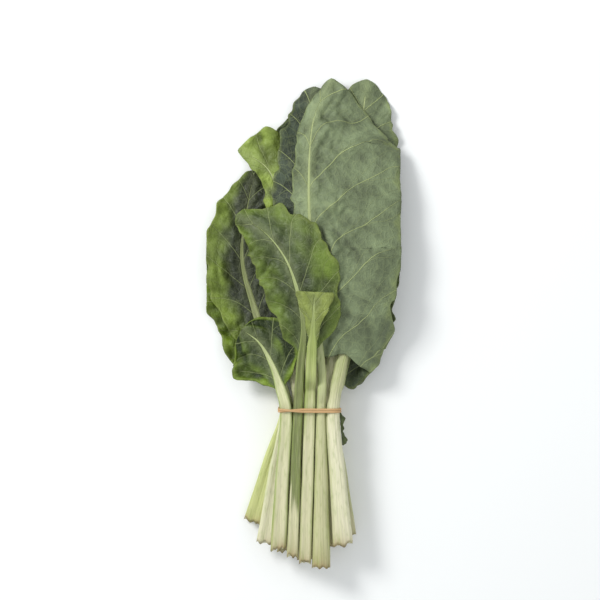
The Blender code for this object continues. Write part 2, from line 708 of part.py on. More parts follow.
def main():
    for old in list(bpy.data.objects):
        bpy.data.objects.remove(old)
    collection = bpy.data.collections.new("swiss_chard_bunch")
    bpy.context.scene.collection.children.link(collection)
    pile = Pile()
    stalks = []
    for leaf in LEAVES:
        spine = Spine(leaf, pile)
        rings = make_stalk(leaf, spine)
        make_blade(leaf, spine, pile)
        pile.lay(np.concatenate([rings, rings[:, :1]], axis=1), 0.0)
        stalks.append(rings)
    make_band(stalks)


main()
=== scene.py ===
"""The looks of a bunch of Swiss chard: fine veined blades, ribbed stalks and the rubber band.

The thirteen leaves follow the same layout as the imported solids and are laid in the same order,
from the table up, but with a fine surface. Each blade is a thin sheet with side veins, puckers
and a frilled margin. Each stalk has long ribs, green edges and a dried cut end, and runs on as
the midrib of its blade.

+X is to the right of the bunch, +Y points to the leaf tips and +Z is up from the table.
All sizes are in millimetres until a mesh is made.
"""

import bpy
import numpy as np
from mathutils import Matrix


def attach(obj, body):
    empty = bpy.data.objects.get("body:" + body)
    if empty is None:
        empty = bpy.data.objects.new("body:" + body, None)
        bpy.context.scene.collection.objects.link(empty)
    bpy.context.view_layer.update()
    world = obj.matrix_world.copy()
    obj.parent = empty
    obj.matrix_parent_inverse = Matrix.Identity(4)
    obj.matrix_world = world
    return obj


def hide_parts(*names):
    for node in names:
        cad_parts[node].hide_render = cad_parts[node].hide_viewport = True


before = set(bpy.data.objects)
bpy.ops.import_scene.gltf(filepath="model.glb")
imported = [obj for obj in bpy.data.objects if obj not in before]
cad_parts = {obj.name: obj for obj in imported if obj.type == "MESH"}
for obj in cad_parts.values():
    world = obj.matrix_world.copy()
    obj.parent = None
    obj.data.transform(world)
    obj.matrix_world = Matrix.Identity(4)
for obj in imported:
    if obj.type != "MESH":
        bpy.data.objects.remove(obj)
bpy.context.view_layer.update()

METRE = 0.001

# Keeps a division by a length that may be 0 from failing
TINY = 1e-9

# Driving dimensions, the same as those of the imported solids
BLADE_THICKNESS = 0.8
STALK_THICKEST = 9.4
SIDE_LEFT = -91.0
SIDE_RIGHT = 90.0
BAND_Y = -83.0
BAND_RADIUS = 0.85
BAND_PITCH = 2.1
BAND_CROSS_X = -12.0
BAND_CROSSING = 0.085

# The band's gap to the stalks, the half-width and half-height of its strand as shares of the
# radius, and how square its section is, where less than 1 is squarer than round
BAND_GAP = 0.1
BAND_SHARES = (1.15, 0.8)
BAND_SQUARENESS = 0.55

# Gaps between pieces: stalk on stalk, and blade over blade
TOUCH_GAP = 0.45
CLEARANCE = 0.9
SOFT_BLEND = 1.2

# How far a blade runs into the side of its midrib, so that they look like one
ROOT = 0.5

# Heights of the three rows of stalks, at the cut ends and under the band
ROW_BUTT_Z = (6.0, 18.3, 30.2)
ROW_TIE_Z = (8.8, 20.6, 31.6)
RESTING_LENGTH = 60.0

# Above the band a stalk keeps its row for the first length, and until the second below the blade
FIRM_ABOVE_BAND = 6.0
LETTING_GO = 44.0

# A stalk's height is smoothed over this many steps each way, again so many times, and at the end
FIT_RADIUS = 5
FIT_ROUNDS = 24
FIT_END = 2

# It clears what lies within this distance of its sides, and its blade within the next one, from
# a little before the blade's base. The height is read at this many places across
STALK_MARGIN = 1.0
BLADE_MARGIN = 5.0
BLADE_AHEAD = 3.0
FIT_PLACES = 9

# Once it leaves its row, a stalk keeps clear of what lies below after this share of its rise
SURE_SHARE = 1 / 3

# The map of heights of what is already laid, a grid over the table. A sheet is sampled this
# finely when it is laid, stalks keep clear of cells this near, and blades follow a floor that is
# raised and smoothed over so many cells
MAP_CELL = 2.5
MAP_LOW = np.array([-150.0, -260.0])
MAP_SHAPE = (120, 208)
LAY_STEP = 2.0
NEAR_CELLS = 1
FLOOR_RAISED = 3
FLOOR_SMOOTHED = 2

# Mesh density: distances between the points of a blade, and of a stalk
SPLINE_DENSITY = 40
SPINE_STEP = 1.0
BLADE_STEP = 1.7
LEAST_COLUMNS = 4
STALK_STEP = 3.6
STALK_SIDES = 84
BAND_POINTS = 640
BAND_SIDES = 20
LOOP_POINTS = 400
LOOP_SMOOTH = 8

# Smooth random hills over a plane: a number that sets the seed of each kind apart, and the
# lengths of the shortest and the longest of its waves
HILL_WAVES = 26
HILLS = dict(
    vein_warp=(1, 40.0, 90.0), rumple=(2, 12.0, 34.0), frill=(3, 10.0, 20.0),
    crinkle=(4, 7.0, 22.0), pucker=(5, 5.5, 11.0), blotch=(7, 25.0, 70.0),
    speck=(8, 7.0, 16.0), fringe=(9, 12.0, 40.0), swell=(11, 30.0, 80.0),
    ragged=(12, 4.0, 12.0), uneven=(13, 40.0, 120.0), ribs=(14, 2.2, 4.4),
    streak=(15, 0.12, 0.6), hem_wave=(16, 13.0, 30.0), hem_lift=(17, 13.0, 30.0),
    torn=(0, 3.0, 9.0), droop=(1, 6.0, 16.0),
)

# Seeds are this far apart from leaf to leaf, and the creases of each have their own
SEED_STEP = 100
CREASE_SEED = 6

# A stalk's section: how far the rounded back and the grooved face stand out, as shares of the
# thickness, how round each is, and the groove's depth and half-width
BACK_SHARE = 0.62
FACE_SHARE = 0.34
BACK_ROUND = 0.85
FACE_ROUND = 0.6
GROOVE_DEPTH = 0.45
GROOVE_WIDTH = 0.5

# The long ribs' height, their twist, and the half-width below which they fade. The hills round a
# stalk are read on a circle of this radius, and those of its swelling on a wider one
RIB_HEIGHT = 0.17
RIB_TWIST = 0.01
RIB_FADE = 5.0
ROUND = 8.0
SWELL_ROUND = 30.0
SWELL = 0.02

# The cut end: how fast its uneven cut fades from ring to ring, how far its face bulges, and the
# rings of the face as shares of its outline
CUT_FADE = 0.8
CUT_BULGE = 0.9
CAP_SHARES = np.array([0.02, 0.28, 0.55, 0.8, 0.93])

# Thickness over width of a stalk, and of a midrib from this far above the blade's base. The
# stalk narrows to its neck at the base, and the midrib narrows on to the tip
STALK_FLATNESS = 0.72
RIB_FLATNESS = 0.5
FLATTENING = 30.0
NECK = 0.84
RIB_TAPER = 0.9
RIB_TAPER_POWER = 0.6

# The midrib ends at this share of the blade's length
RIB_END = 0.93

# Outlines: half-width along the midrib, as shares of the length and of the widest half-width
OUTLINE = (
    (0.0, 0.1), (0.04, 0.36), (0.09, 0.56), (0.17, 0.77), (0.3, 0.95), (0.45, 1.0),
    (0.62, 0.97), (0.77, 0.85), (0.88, 0.66), (0.95, 0.44), (0.985, 0.24), (1.0, 0.02),
)
POINTED = (
    *OUTLINE[:6], (0.62, 0.93), (0.77, 0.76), (0.88, 0.53), (0.95, 0.34), (0.985, 0.19), (1.0, 0.02),
)
SLIM_BASE = (
    (0.0, 0.1), (0.1, 0.3), (0.22, 0.55), (0.36, 0.86), (0.5, 1.0), (0.68, 0.96),
    (0.82, 0.78), (0.93, 0.5), (0.98, 0.26), (1.0, 0.02),
)
SPOON = ((0.0, 0.15), (0.15, 0.26), (0.35, 0.4), (0.75, 0.8), (0.92, 1.0), (1.0, 0.92))
OUTLINE_STEP = 0.004

# Where a leaf has a shoulder, its base is fuller over this share of its length
SHOULDER_LENGTH = 0.3

# The margin: lobes as a share of the width and of a wave's length, with smaller ones on them,
# and how far the right half's waves run ahead of the left's
LOBE_DEPTH = 0.06
LOBE_LENGTH = 0.8
SMALL_LOBES = 0.4
SMALL_WAVES = 0.3
SMALL_WAVES_AHEAD = 1.0
SMALLER_BY = 2.3
SIDE_SHIFT = 0.3
FULL_WAVE_REACH = 20.0

# The lean turns from the base's to the tip's over the first share of the length, and ends over
# the last share. It grows outwards with this power
LEAN_TURNS = 0.35
LEAN_ENDS = 0.3
LEAN_POWER = 1.5

# A margin past the side of the bunch bends down: what is left of its spread, and its drop
WALL_SPREAD = 0.1
WALL_DROP = 0.8

# Beyond this share of its width a blade rests on what lies below it, not on its midrib
FREE_OF_RIB = 0.25

# Fine relief of a blade, which starts this far from the midrib: pillows between the side veins,
# rumples, puckers, and the frill of the margin, read this far apart for the two halves
RIB_CLEAR = 9.0
PILLOW = 1.9
RUMPLE = 1.0
PUCKER = 0.42
FRILL = 1.3
FRILL_POWER = 5
FRILL_APART = 40.0

# Small crinkles of the margin, which are full where the outline is past this share of its width,
# and the least width of a blade beside its midrib, up to this share of the length from the tip
CRINKLE = 0.7
CRINKLE_FULL = 0.25
LEAST_BLADE = 0.8
LEAST_ENDS = 0.05

# The lower margin of a blade with a shoulder: how far its waves run along the leaf and stand up
# from it, for a full shoulder, and how far they reach into the blade
HEM_WAVE = 5.5
HEM_LIFT = 3.5
HEM_REACH = 22.0

# A rolled margin: how deep its shaded hollow is, how wide the hollow's slopes are as a share of
# the blade's half-width, and how gradually it starts
FOLD_DEPTH = 2.4
FOLD_SLOPE = 0.12
FOLD_START = 12.0

# Creases of a blade: one for so many millimetres of its length, after the first share of it, with
# their least and greatest length, how far they turn from the midrib's direction, how much they
# bend, the width and depth of the valley, the height and place of the lip beside it as shares of
# those, and the share of each half in which they fade
CREASE_EVERY = 18.0
CREASES_AFTER = 0.1
CREASE_LENGTH = (22.0, 70.0)
CREASE_TURN = 1.1
CREASE_BEND = 0.006
CREASE_WIDTH = 2.6
CREASE_DEPTH = 1.6
LIP_HEIGHT = 0.45
LIP_PLACE = 1.8
CREASE_FADE = 0.8

# Side veins: how steeply they leave the midrib, how much they bend outwards, and how far they
# run along the midrib before they leave it
VEIN_SLOPE = 1.1
VEIN_BEND = 0.42
VEIN_START = 7.0
VEIN_WANDER = 0.06

# A torn scrap of blade beside the right stalk, below the band: where it starts and ends, how far
# it stands out at shares of its length, its height, how it droops, how ragged it is, the size it
# would have if flat, where it counts as lying on a leaf, and what it has for side veins
SCRAP_START = (33.2, -84.0)
SCRAP_END = (36.2, -115.5)
SCRAP_WIDTHS = (
    (0.0, 0.5), (0.08, 2.4), (0.2, 4.8), (0.3, 2.6), (0.42, 2.2), (0.6, 1.8), (0.74, 2.8),
    (0.86, 5.8), (0.95, 4.0), (1.0, 0.8),
)
SCRAP_HEIGHT = 31.0
SCRAP_DROP = 0.3
SCRAP_TEAR = 0.5
SCRAP_SIZE = (10.0, 30.0)
SCRAP_PLACE = 20.0
SCRAP_VEINS = (0.3, 30.0, 0.5)
SCRAP_GRID = (44, 7)
SCRAP_SEED = 5000

# Colour of a blade: where its inner tone, a darker painted shade, ends, the strengths of blotches,
# specks, and the painted shade and light of pillows, rumples and creases, the least brightness,
# and how pale its outermost rim, in painted light, and its middle are
TONE_TURNS = (0.2, 0.8)
FRINGE = 0.08
BLOTCH = 0.14
SPECK = 0.06
PILLOW_SHADE = 0.14
RUMPLE_SHADE = 0.09
CREASE_SHADE = 0.26
DARKEST = 0.3
LIT_RIM = 0.35
LIT_RIM_STARTS = 0.86
LIT_RIM_FRINGE = 0.03
MIDDLE = 0.16

# The shaded half of a blade: its strength, where it starts, how wide that is and how it wanders
FAR = 0.9
FAR_START = -17.0
FAR_WIDTH = 16.0
FAR_FRINGE = 3.0

# Painted shade in the hollow of a rolled margin: its strength, its share in the lower half, and where
# the upper one starts
FOLD_SHADE_STRENGTH = 1.3
FOLD_SHADE_LEAST = 0.35
FOLD_SHADE_START = -26.0
FOLD_SHADE_WIDTH = 14.0

# Where a stalk changes colour, as shares of the length from its cut end to the band, how far that
# wanders, and by how much its streaks do
STALK_TURN = (0.6, 1.5)
TURN_WANDER = 6.0
STREAK = 1.2
STREAK_STRETCH = 0.004
UNEVEN_ROUND = 25.0

# Green of a stalk's edges, from this share of the half-width, its strength, its unevenness and
# what it gains over this distance above the band. The midrib takes its rib colour above the base,
# painted shade on one leaf
EDGE_STARTS = 0.55
EDGE_STRENGTH = 0.8
EDGE_UNEVEN = 0.12
GREEN_ABOVE = (0.3, 90.0)
RIB_TURN = (0.85, 50.0)

# Dried brown of the cut end: strength and reach, close to the cut and further up
DRY_CLOSE = (0.75, 3.5)
DRY_FAR = (0.28, 20.0)
DRY_UNEVEN = 0.3

# Depth of the finest relief, in metres: of blades and stalks, and of the band
SKIN_DEPTH = 0.0006
GRAIN_DEPTH = 0.0002

# The floor's size and height, and the lights: place, size and power, in metres and watts
FLOOR_SIZE = 6.0
FLOOR_Z = -0.0006
KEY_LIGHT = ((-0.95, 0.75, 1.05), 0.5, 18.0)
FILL_LIGHT = ((1.1, -0.3, 1.2), 1.4, 2.0)
SKY = (0.95, 0.98, 1.0, 1.0)
SKY_STRENGTH = 0.72

# The camera looks straight down, and the frame is this wide at the height of the leaves
VIEW_CENTRE = (-3.3, 19.5)
VIEW_WIDTH = 558.0
VIEW_HEIGHT = 30.0
CAMERA_HEIGHT = 1630.0
SENSOR = 36.0


def srgb(red, green, blue):
    """A colour read by eye as 0 to 255, as the light values that Blender mixes."""
    share = np.array([red, green, blue]) / 255.0
    return np.where(share <= 0.04045, share / 12.92, ((share + 0.055) / 1.055) ** 2.4)


# Colours of the blades, the veins, the stalks, the band and the floor. SHADE, IVY and SLATE are
# painted shade on blades, and the near-black green is painted shade in a rolled margin's hollow
BRIGHT = srgb(98, 120, 28)
FERN = srgb(106, 124, 46)
SPRING = srgb(120, 138, 58)
MEADOW = srgb(86, 104, 36)
HOLLY = srgb(70, 82, 44)
IVY = srgb(58, 70, 36)
LIME = srgb(122, 134, 62)
SAGE = srgb(106, 118, 87)
SHADE = srgb(48, 54, 38)
FOLD_SHADE = srgb(26, 42, 0)
DARK = srgb(56, 68, 44)
SLATE = srgb(62, 72, 58)
VEIN = srgb(172, 184, 124)
WHITE = srgb(230, 226, 194)
CREAM = srgb(214, 210, 172)
BUFF = srgb(196, 194, 150)
WHITE_GREEN = srgb(200, 205, 154)
YELLOW_GREEN = srgb(206, 212, 142)
PALE_GREEN = srgb(164, 176, 100)
OLIVE = srgb(118, 126, 76)
EDGE_GREEN = srgb(132, 152, 66)
PITH = srgb(206, 206, 170)
DRIED = srgb(158, 136, 92)
RUBBER = srgb(200, 162, 114)
RUBBER_DARK = 0.72 * RUBBER
PAPER = srgb(246, 247, 246)
PAPER_DARK = srgb(232, 234, 233)

# Each leaf, in the order in which they are laid. The sizes are those of the imported solids.
#   row    which row of stalks, from the table up
#   butt   x and y of the cut end, and the width there
#   tie    x under the band, and the width there
#   spine  points of the midrib above the band: x, y and the height over the closest fit
#   base   how far above the band the blade starts, along the stalk
#   firm   how far above the band the stalk keeps its row, if not until it nears the blade
#   left, right   widest half-width, and the angles of that half at the midrib and the margin
#   lean   how far the margin runs ahead of the midrib, at the base and at the tip
#   ruffle height, length and start of the waves along the margin
#   shoulder  how full the blade is at its base, from 0, as in the outline, to 1
#   back   1 where the rounded back of the midrib faces up, -1 where it faces down
#   crisp  share of the fine relief, less where other leaves press on the blade
#   fold   the hollow of a rolled margin, in painted shade: its shares of the half-width, where it starts
#   tone, inner   colours of the blade near its margin, and near its midrib a darker painted shade if any
#   far    colour of the right half, if it lies in the shade
#   rib    colour of the midrib
#   stalk  colours of the stalk at the cut end and at the blade
#   turn   where it changes from one to the other, as shares of the length to the band
#   edge   how green the edges of the stalk are, from 0 to 1
#   veins, first_vein   distance between the large side veins, and where they start
#   slots  names of the materials of the blade and the stalk in the record
# What a leaf doesn't say of itself is as usual.
USUAL = dict(
    back=-1, lean=(-0.4, 0.3), outline=OUTLINE, shoulder=0.0, crisp=1.0, rib=VEIN,
    stalk=(CREAM, CREAM), turn=STALK_TURN, edge=0.3, first_vein=0.0,
)
LEAVES = (
    dict(
        name="back_leaf", row=0, butt=(-10, -214, 19), tie=(-2, 12.8), base=78, crisp=0.5,
        spine=((0, -45, 1), (4, 20, 1), (8, 100, 0), (9, 165, 0), (10, 200, 3)),
        left=(58, -6, -9), right=(62, -8, -8), ruffle=(4.4, 62, 0.1),
        tone=DARK, veins=34, slots=("leaf_dark", "stalk_cream"),
    ),
    dict(
        name="west_low_leaf", row=0, butt=(-48, -190, 17), tie=(-15.8, 12.4), base=36,
        spine=((-27, -50, 1), (-45, -12, 1), (-61, 35, 1), (-68, 86, 2)),
        left=(35, 6, 20), right=(38, 0, -4), lean=(-1.1, 0.25), ruffle=(5.7, 44, 0.4),
        tone=BRIGHT, inner=SHADE, stalk=(YELLOW_GREEN, YELLOW_GREEN),
        veins=26, slots=("leaf_bright", "stalk_green"),
    ),
    dict(
        name="east_back_leaf", row=0, butt=(14, -218, 18), tie=(11.8, 12.6), base=75, crisp=0.5,
        spine=((22, -45, 1), (37, 20, 1), (46, 90, 1), (52, 178, 2)),
        left=(38, 0, -4), right=(38, -4, -6), ruffle=(4.5, 58, 0.7),
        tone=DARK, veins=32, slots=("leaf_dark", "stalk_cream"),
    ),
    dict(
        name="east_low_leaf", row=0, butt=(42, -203, 16), tie=(25.4, 12.4), base=30, firm=20,
        spine=((34, -56, 1), (46, -18, 1), (58, 32, 1), (63, 104, 2)),
        left=(11, 0, -4), right=(31, 4, 12), lean=(-1.1, 0.25), ruffle=(4.5, 46, 0.2),
        tone=DARK, stalk=(CREAM, WHITE_GREEN), edge=0.4,
        veins=26, slots=("leaf_dark", "stalk_cream"),
    ),
    dict(
        name="west_leaf", row=1, butt=(-36, -208, 16), tie=(-16.3, 11.4), base=62,
        spine=((-26, -45, 1), (-46, 10, 1), (-58, 62, 1), (-47, 142, 3)),
        left=(36, 6, 14), right=(38, 0, -4), lean=(-0.4, 0.05), ruffle=(6.0, 47, 0.9),
        # Its olive midrib, darker inner part and shaded right half are painted shade from the leaf
        # over it
        outline=POINTED, tone=FERN, inner=SHADE, far=SHADE, rib=OLIVE,
        stalk=(WHITE, WHITE_GREEN), veins=28, slots=("leaf_bright", "stalk_cream"),
    ),
    dict(
        name="west_top_leaf", row=1, butt=(-17, -216, 15.5), tie=(-3.9, 11.6), base=80,
        spine=((-9, -40, 1), (-17, 40, 1), (-21, 102, 1), (-34, 143, 2), (-62, 161, 3)),
        left=(13, 0, -8), right=(50, 0, -2), lean=(-0.4, 0.1), ruffle=(5.5, 50, 0.3),
        tone=SPRING, edge=0.5, veins=30, slots=("leaf_bright", "stalk_cream"),
    ),
    dict(
        name="crown_leaf", row=1, butt=(2, -222, 17), tie=(8.6, 12), back=1, base=84,
        spine=((7, -40, 1), (0, 50, 1), (0, 140, 1), (10, 221, 3)),
        left=(27, -2, -10), right=(48, 0, -8), ruffle=(4.5, 60, 0.55), crisp=0.5,
        # Its dark slate grey is painted shade on the crown leaf
        tone=SLATE, veins=34, slots=("leaf_dark", "stalk_cream"),
    ),
    dict(
        name="east_top_leaf", row=1, butt=(25, -211, 16), tie=(21.2, 12), back=1, base=78,
        spine=((27, -40, 1), (41, 50, 1), (50, 140, 1), (60, 228, 3)),
        left=(40, 0, -6), right=(38, -4, -16), ruffle=(4.5, 60, 0.15), crisp=0.5,
        tone=SAGE, veins=34, slots=("leaf_grey", "stalk_cream"),
    ),
    dict(
        name="east_leaf", row=2, butt=(36.5, -208, 18.5), tie=(27.4, 12.2), back=1, base=52,
        spine=((34, -45, 1), (48, 10, 1), (58, 80, 1), (62, 170, 2)),
        left=(42, 0, -6), right=(34, -6, -30), ruffle=(4.5, 54, 0.6), crisp=0.5,
        tone=SAGE, stalk=(WHITE, BUFF), edge=0.25,
        veins=32, slots=("leaf_grey", "stalk_cream"),
    ),
    dict(
        name="front_leaf", row=2, butt=(16.5, -229, 17.5), tie=(16.4, 8.2), back=1, base=50,
        spine=((17, -50, 1), (13, 0, 2), (7, 70, 3), (5, 130, 3), (10, 190, 3), (27, 228, 3)),
        left=(19, -20, -55), right=(99, 4, -36), lean=(-0.25, 0.25), ruffle=(4.2, 66, 0.85),
        shoulder=0.45, crisp=1.15, tone=SAGE, stalk=(BUFF, WHITE_GREEN), edge=0.45,
        veins=42, first_vein=0.3, slots=("leaf_grey", "stalk_cream"),
    ),
    dict(
        name="south_west_leaf", row=2, butt=(-23.4, -212, 14.2), tie=(-16.7, 11), base=24,
        spine=((-22, -62, 1), (-30, -40, 3), (-42, -20, 3), (-58, -8, 2)),
        left=(37, -2, -20), right=(34, 2, -12), lean=(-0.45, -0.1), ruffle=(3.9, 38, 0.6),
        outline=SLIM_BASE, fold=(0.42, 0.92, 6.0), tone=BRIGHT, inner=IVY,
        stalk=(CREAM, WHITE_GREEN), edge=1.0, veins=22, slots=("leaf_grey", "stalk_green"),
    ),
    dict(
        name="folded_leaf", row=2, butt=(-10.5, -219, 10.2), tie=(-5.3, 8.6), base=55,
        spine=((-3, -45, 1), (0, -8, 2), (-5, 25, 3), (-17, 58, 4), (-38, 84, 3), (-63, 99, 2)),
        left=(31, -2, -14), right=(42, 0, -16), lean=(-0.1, 0.2), ruffle=(5.2, 42, 0.5),
        outline=POINTED, tone=MEADOW, inner=IVY, stalk=(CREAM, OLIVE), turn=(0.3, 0.42),
        edge=0.5, veins=27, slots=("leaf_bright", "stalk_green"),
    ),
    dict(
        name="young_leaf", row=2, butt=(1.4, -225, 11.2), tie=(5.8, 10.6), base=62, crisp=0.5,
        spine=((7, -50, 1), (8, -22, 1), (9, 5, 1), (10, 27, 1)),
        left=(17, 4, -6), right=(19, 4, -6), lean=(-0.1, 0.05), ruffle=(1.6, 40, 0.0),
        outline=SPOON, tone=LIME, stalk=(CREAM, PALE_GREEN), edge=0.6,
        veins=17, slots=("leaf_bright", "stalk_green"),
    ),
)


def smoothstep(value):
    """0 below 0, 1 above 1, and a smooth rise between them."""
    t = np.clip(value, 0.0, 1.0)
    return t * t * (3.0 - 2.0 * t)


def soft_maximum(a, b):
    """The larger of two heights, with the corner between them rounded off."""
    return 0.5 * (a + b + np.sqrt((a - b) ** 2 + SOFT_BLEND**2))


def arc_length(curve):
    """Distance from the start of a polyline to each of its points."""
    steps = np.linalg.norm(np.diff(curve, axis=0), axis=1)
    return np.concatenate([[0.0], np.cumsum(steps)])


def read_rows(at, along, rows):
    """Rows read between those of a table, where along tells how far along each of them is."""
    return np.stack([np.interp(at, along, column) for column in rows.T], axis=-1)


def spline(points, step=SPINE_STEP):
    """Points every step along a centripetal Catmull-Rom curve through the given points."""
    given = np.array(points, float)
    knots = np.concatenate((2 * given[:1] - given[1:2], given, 2 * given[-1:] - given[-2:-1]))
    made = []
    for p0, p1, p2, p3 in zip(knots, knots[1:], knots[2:], knots[3:]):
        t1 = np.linalg.norm(p1 - p0) ** 0.5
        t2 = t1 + np.linalg.norm(p2 - p1) ** 0.5
        t3 = t2 + np.linalg.norm(p3 - p2) ** 0.5
        t = np.linspace(t1, t2, SPLINE_DENSITY, endpoint=False)[:, None]
        a1 = (t1 - t) / t1 * p0 + t / t1 * p1
        a2 = (t2 - t) / (t2 - t1) * p1 + (t - t1) / (t2 - t1) * p2
        a3 = (t3 - t) / (t3 - t2) * p2 + (t - t2) / (t3 - t2) * p3
        b1 = (t2 - t) / t2 * a1 + t / t2 * a2
        b2 = (t3 - t) / (t3 - t1) * a2 + (t - t1) / (t3 - t1) * a3
        made.append((t2 - t) / (t2 - t1) * b1 + (t - t1) / (t2 - t1) * b2)
    curve = np.concatenate(made + [given[-1:]])
    along = arc_length(curve)
    at = np.linspace(0.0, along[-1], int(along[-1] / step) + 1)
    return read_rows(at, along, curve)


def unit(vectors):
    """The same directions, with a length of 1."""
    return vectors / (np.linalg.norm(vectors, axis=-1, keepdims=True) + TINY)


def moved_copies(values, radius, axis=0):
    """Copies of an array, moved by up to that many places each way, its ends drawn out."""
    width = [(0, 0)] * values.ndim
    width[axis] = (radius, radius)
    padded = np.pad(values, width, mode="edge")
    count = values.shape[axis]
    return [np.take(padded, range(k, k + count), axis) for k in range(2 * radius + 1)]


def blurred(grid, radius):
    """The grid averaged over a square of that many cells each way."""
    for axis in range(grid.ndim):
        grid = np.mean(moved_copies(grid, radius, axis), axis=0)
    return grid


def raised(grid, radius):
    """The grid where each cell takes the highest value within that many cells."""
    for axis in range(grid.ndim):
        grid = np.max(moved_copies(grid, radius, axis), axis=0)
    return grid


def hills(kind, seed, x, y):
    """Smooth random heights of about -2 to 2 at points of a plane, the same for a seed."""
    own_seed, shortest, longest = HILLS[kind]
    draw = np.random.default_rng(seed + own_seed)
    turn = draw.uniform(0.0, np.pi, HILL_WAVES)
    length = draw.uniform(shortest, longest, HILL_WAVES)
    start = draw.uniform(0.0, 2 * np.pi, HILL_WAVES)
    waves = np.stack([np.cos(turn), np.sin(turn)]) * 2 * np.pi / length
    total = np.zeros(np.broadcast(x, y).shape)
    for a, b, c in zip(*waves, start):
        total += np.sin(a * x + b * y + c)
    return total * (2.0 / HILL_WAVES) ** 0.5


class Pile:
    """The heights of what has been laid on the table so far."""

    def __init__(self):
        self.top = np.full(MAP_SHAPE, BLADE_THICKNESS / 2 - CLEARANCE)
        self.settle()

    def settle(self):
        """Works out the floors that the next leaf follows: a close one and a smooth one."""
        self.near = raised(self.top, NEAR_CELLS)
        self.smooth = blurred(raised(self.top, FLOOR_RAISED), FLOOR_SMOOTHED)

    def cell(self, xy):
        """Places on the map, in cells, of points of the table."""
        at = (np.asarray(xy) - MAP_LOW) / MAP_CELL
        return np.clip(at, 0.0, np.array(MAP_SHAPE) - 1.001)

    def read(self, floor, xy):
        """The floor's height at points of the table, between its cells."""
        at = self.cell(xy)
        low = at.astype(int)
        share = at - low
        i, j = low[..., 0], low[..., 1]
        u, v = share[..., 0], share[..., 1]
        return (
            floor[i, j] * (1 - u) * (1 - v)
            + floor[i + 1, j] * u * (1 - v)
            + floor[i, j + 1] * (1 - u) * v
            + floor[i + 1, j + 1] * u * v
        )

    def lay(self, grid, thickness):
        """Adds a sheet, given as a grid of points, sampled finely between them."""
        longest = [np.linalg.norm(np.diff(grid, axis=k), axis=-1).max() for k in (0, 1)]
        first, second = (np.linspace(0.0, 1.0, int(step / LAY_STEP) + 2) for step in longest)
        corners = (grid[:-1, :-1], grid[1:, :-1], grid[:-1, 1:], grid[1:, 1:])
        for u in first:
            for v in second:
                shares = ((1 - u) * (1 - v), u * (1 - v), (1 - u) * v, u * v)
                points = sum(s * c for s, c in zip(shares, corners)).reshape(-1, 3)
                cells = np.round(self.cell(points[:, :2])).astype(int)
                np.maximum.at(self.top, (cells[:, 0], cells[:, 1]), points[:, 2] + thickness)
        self.settle()


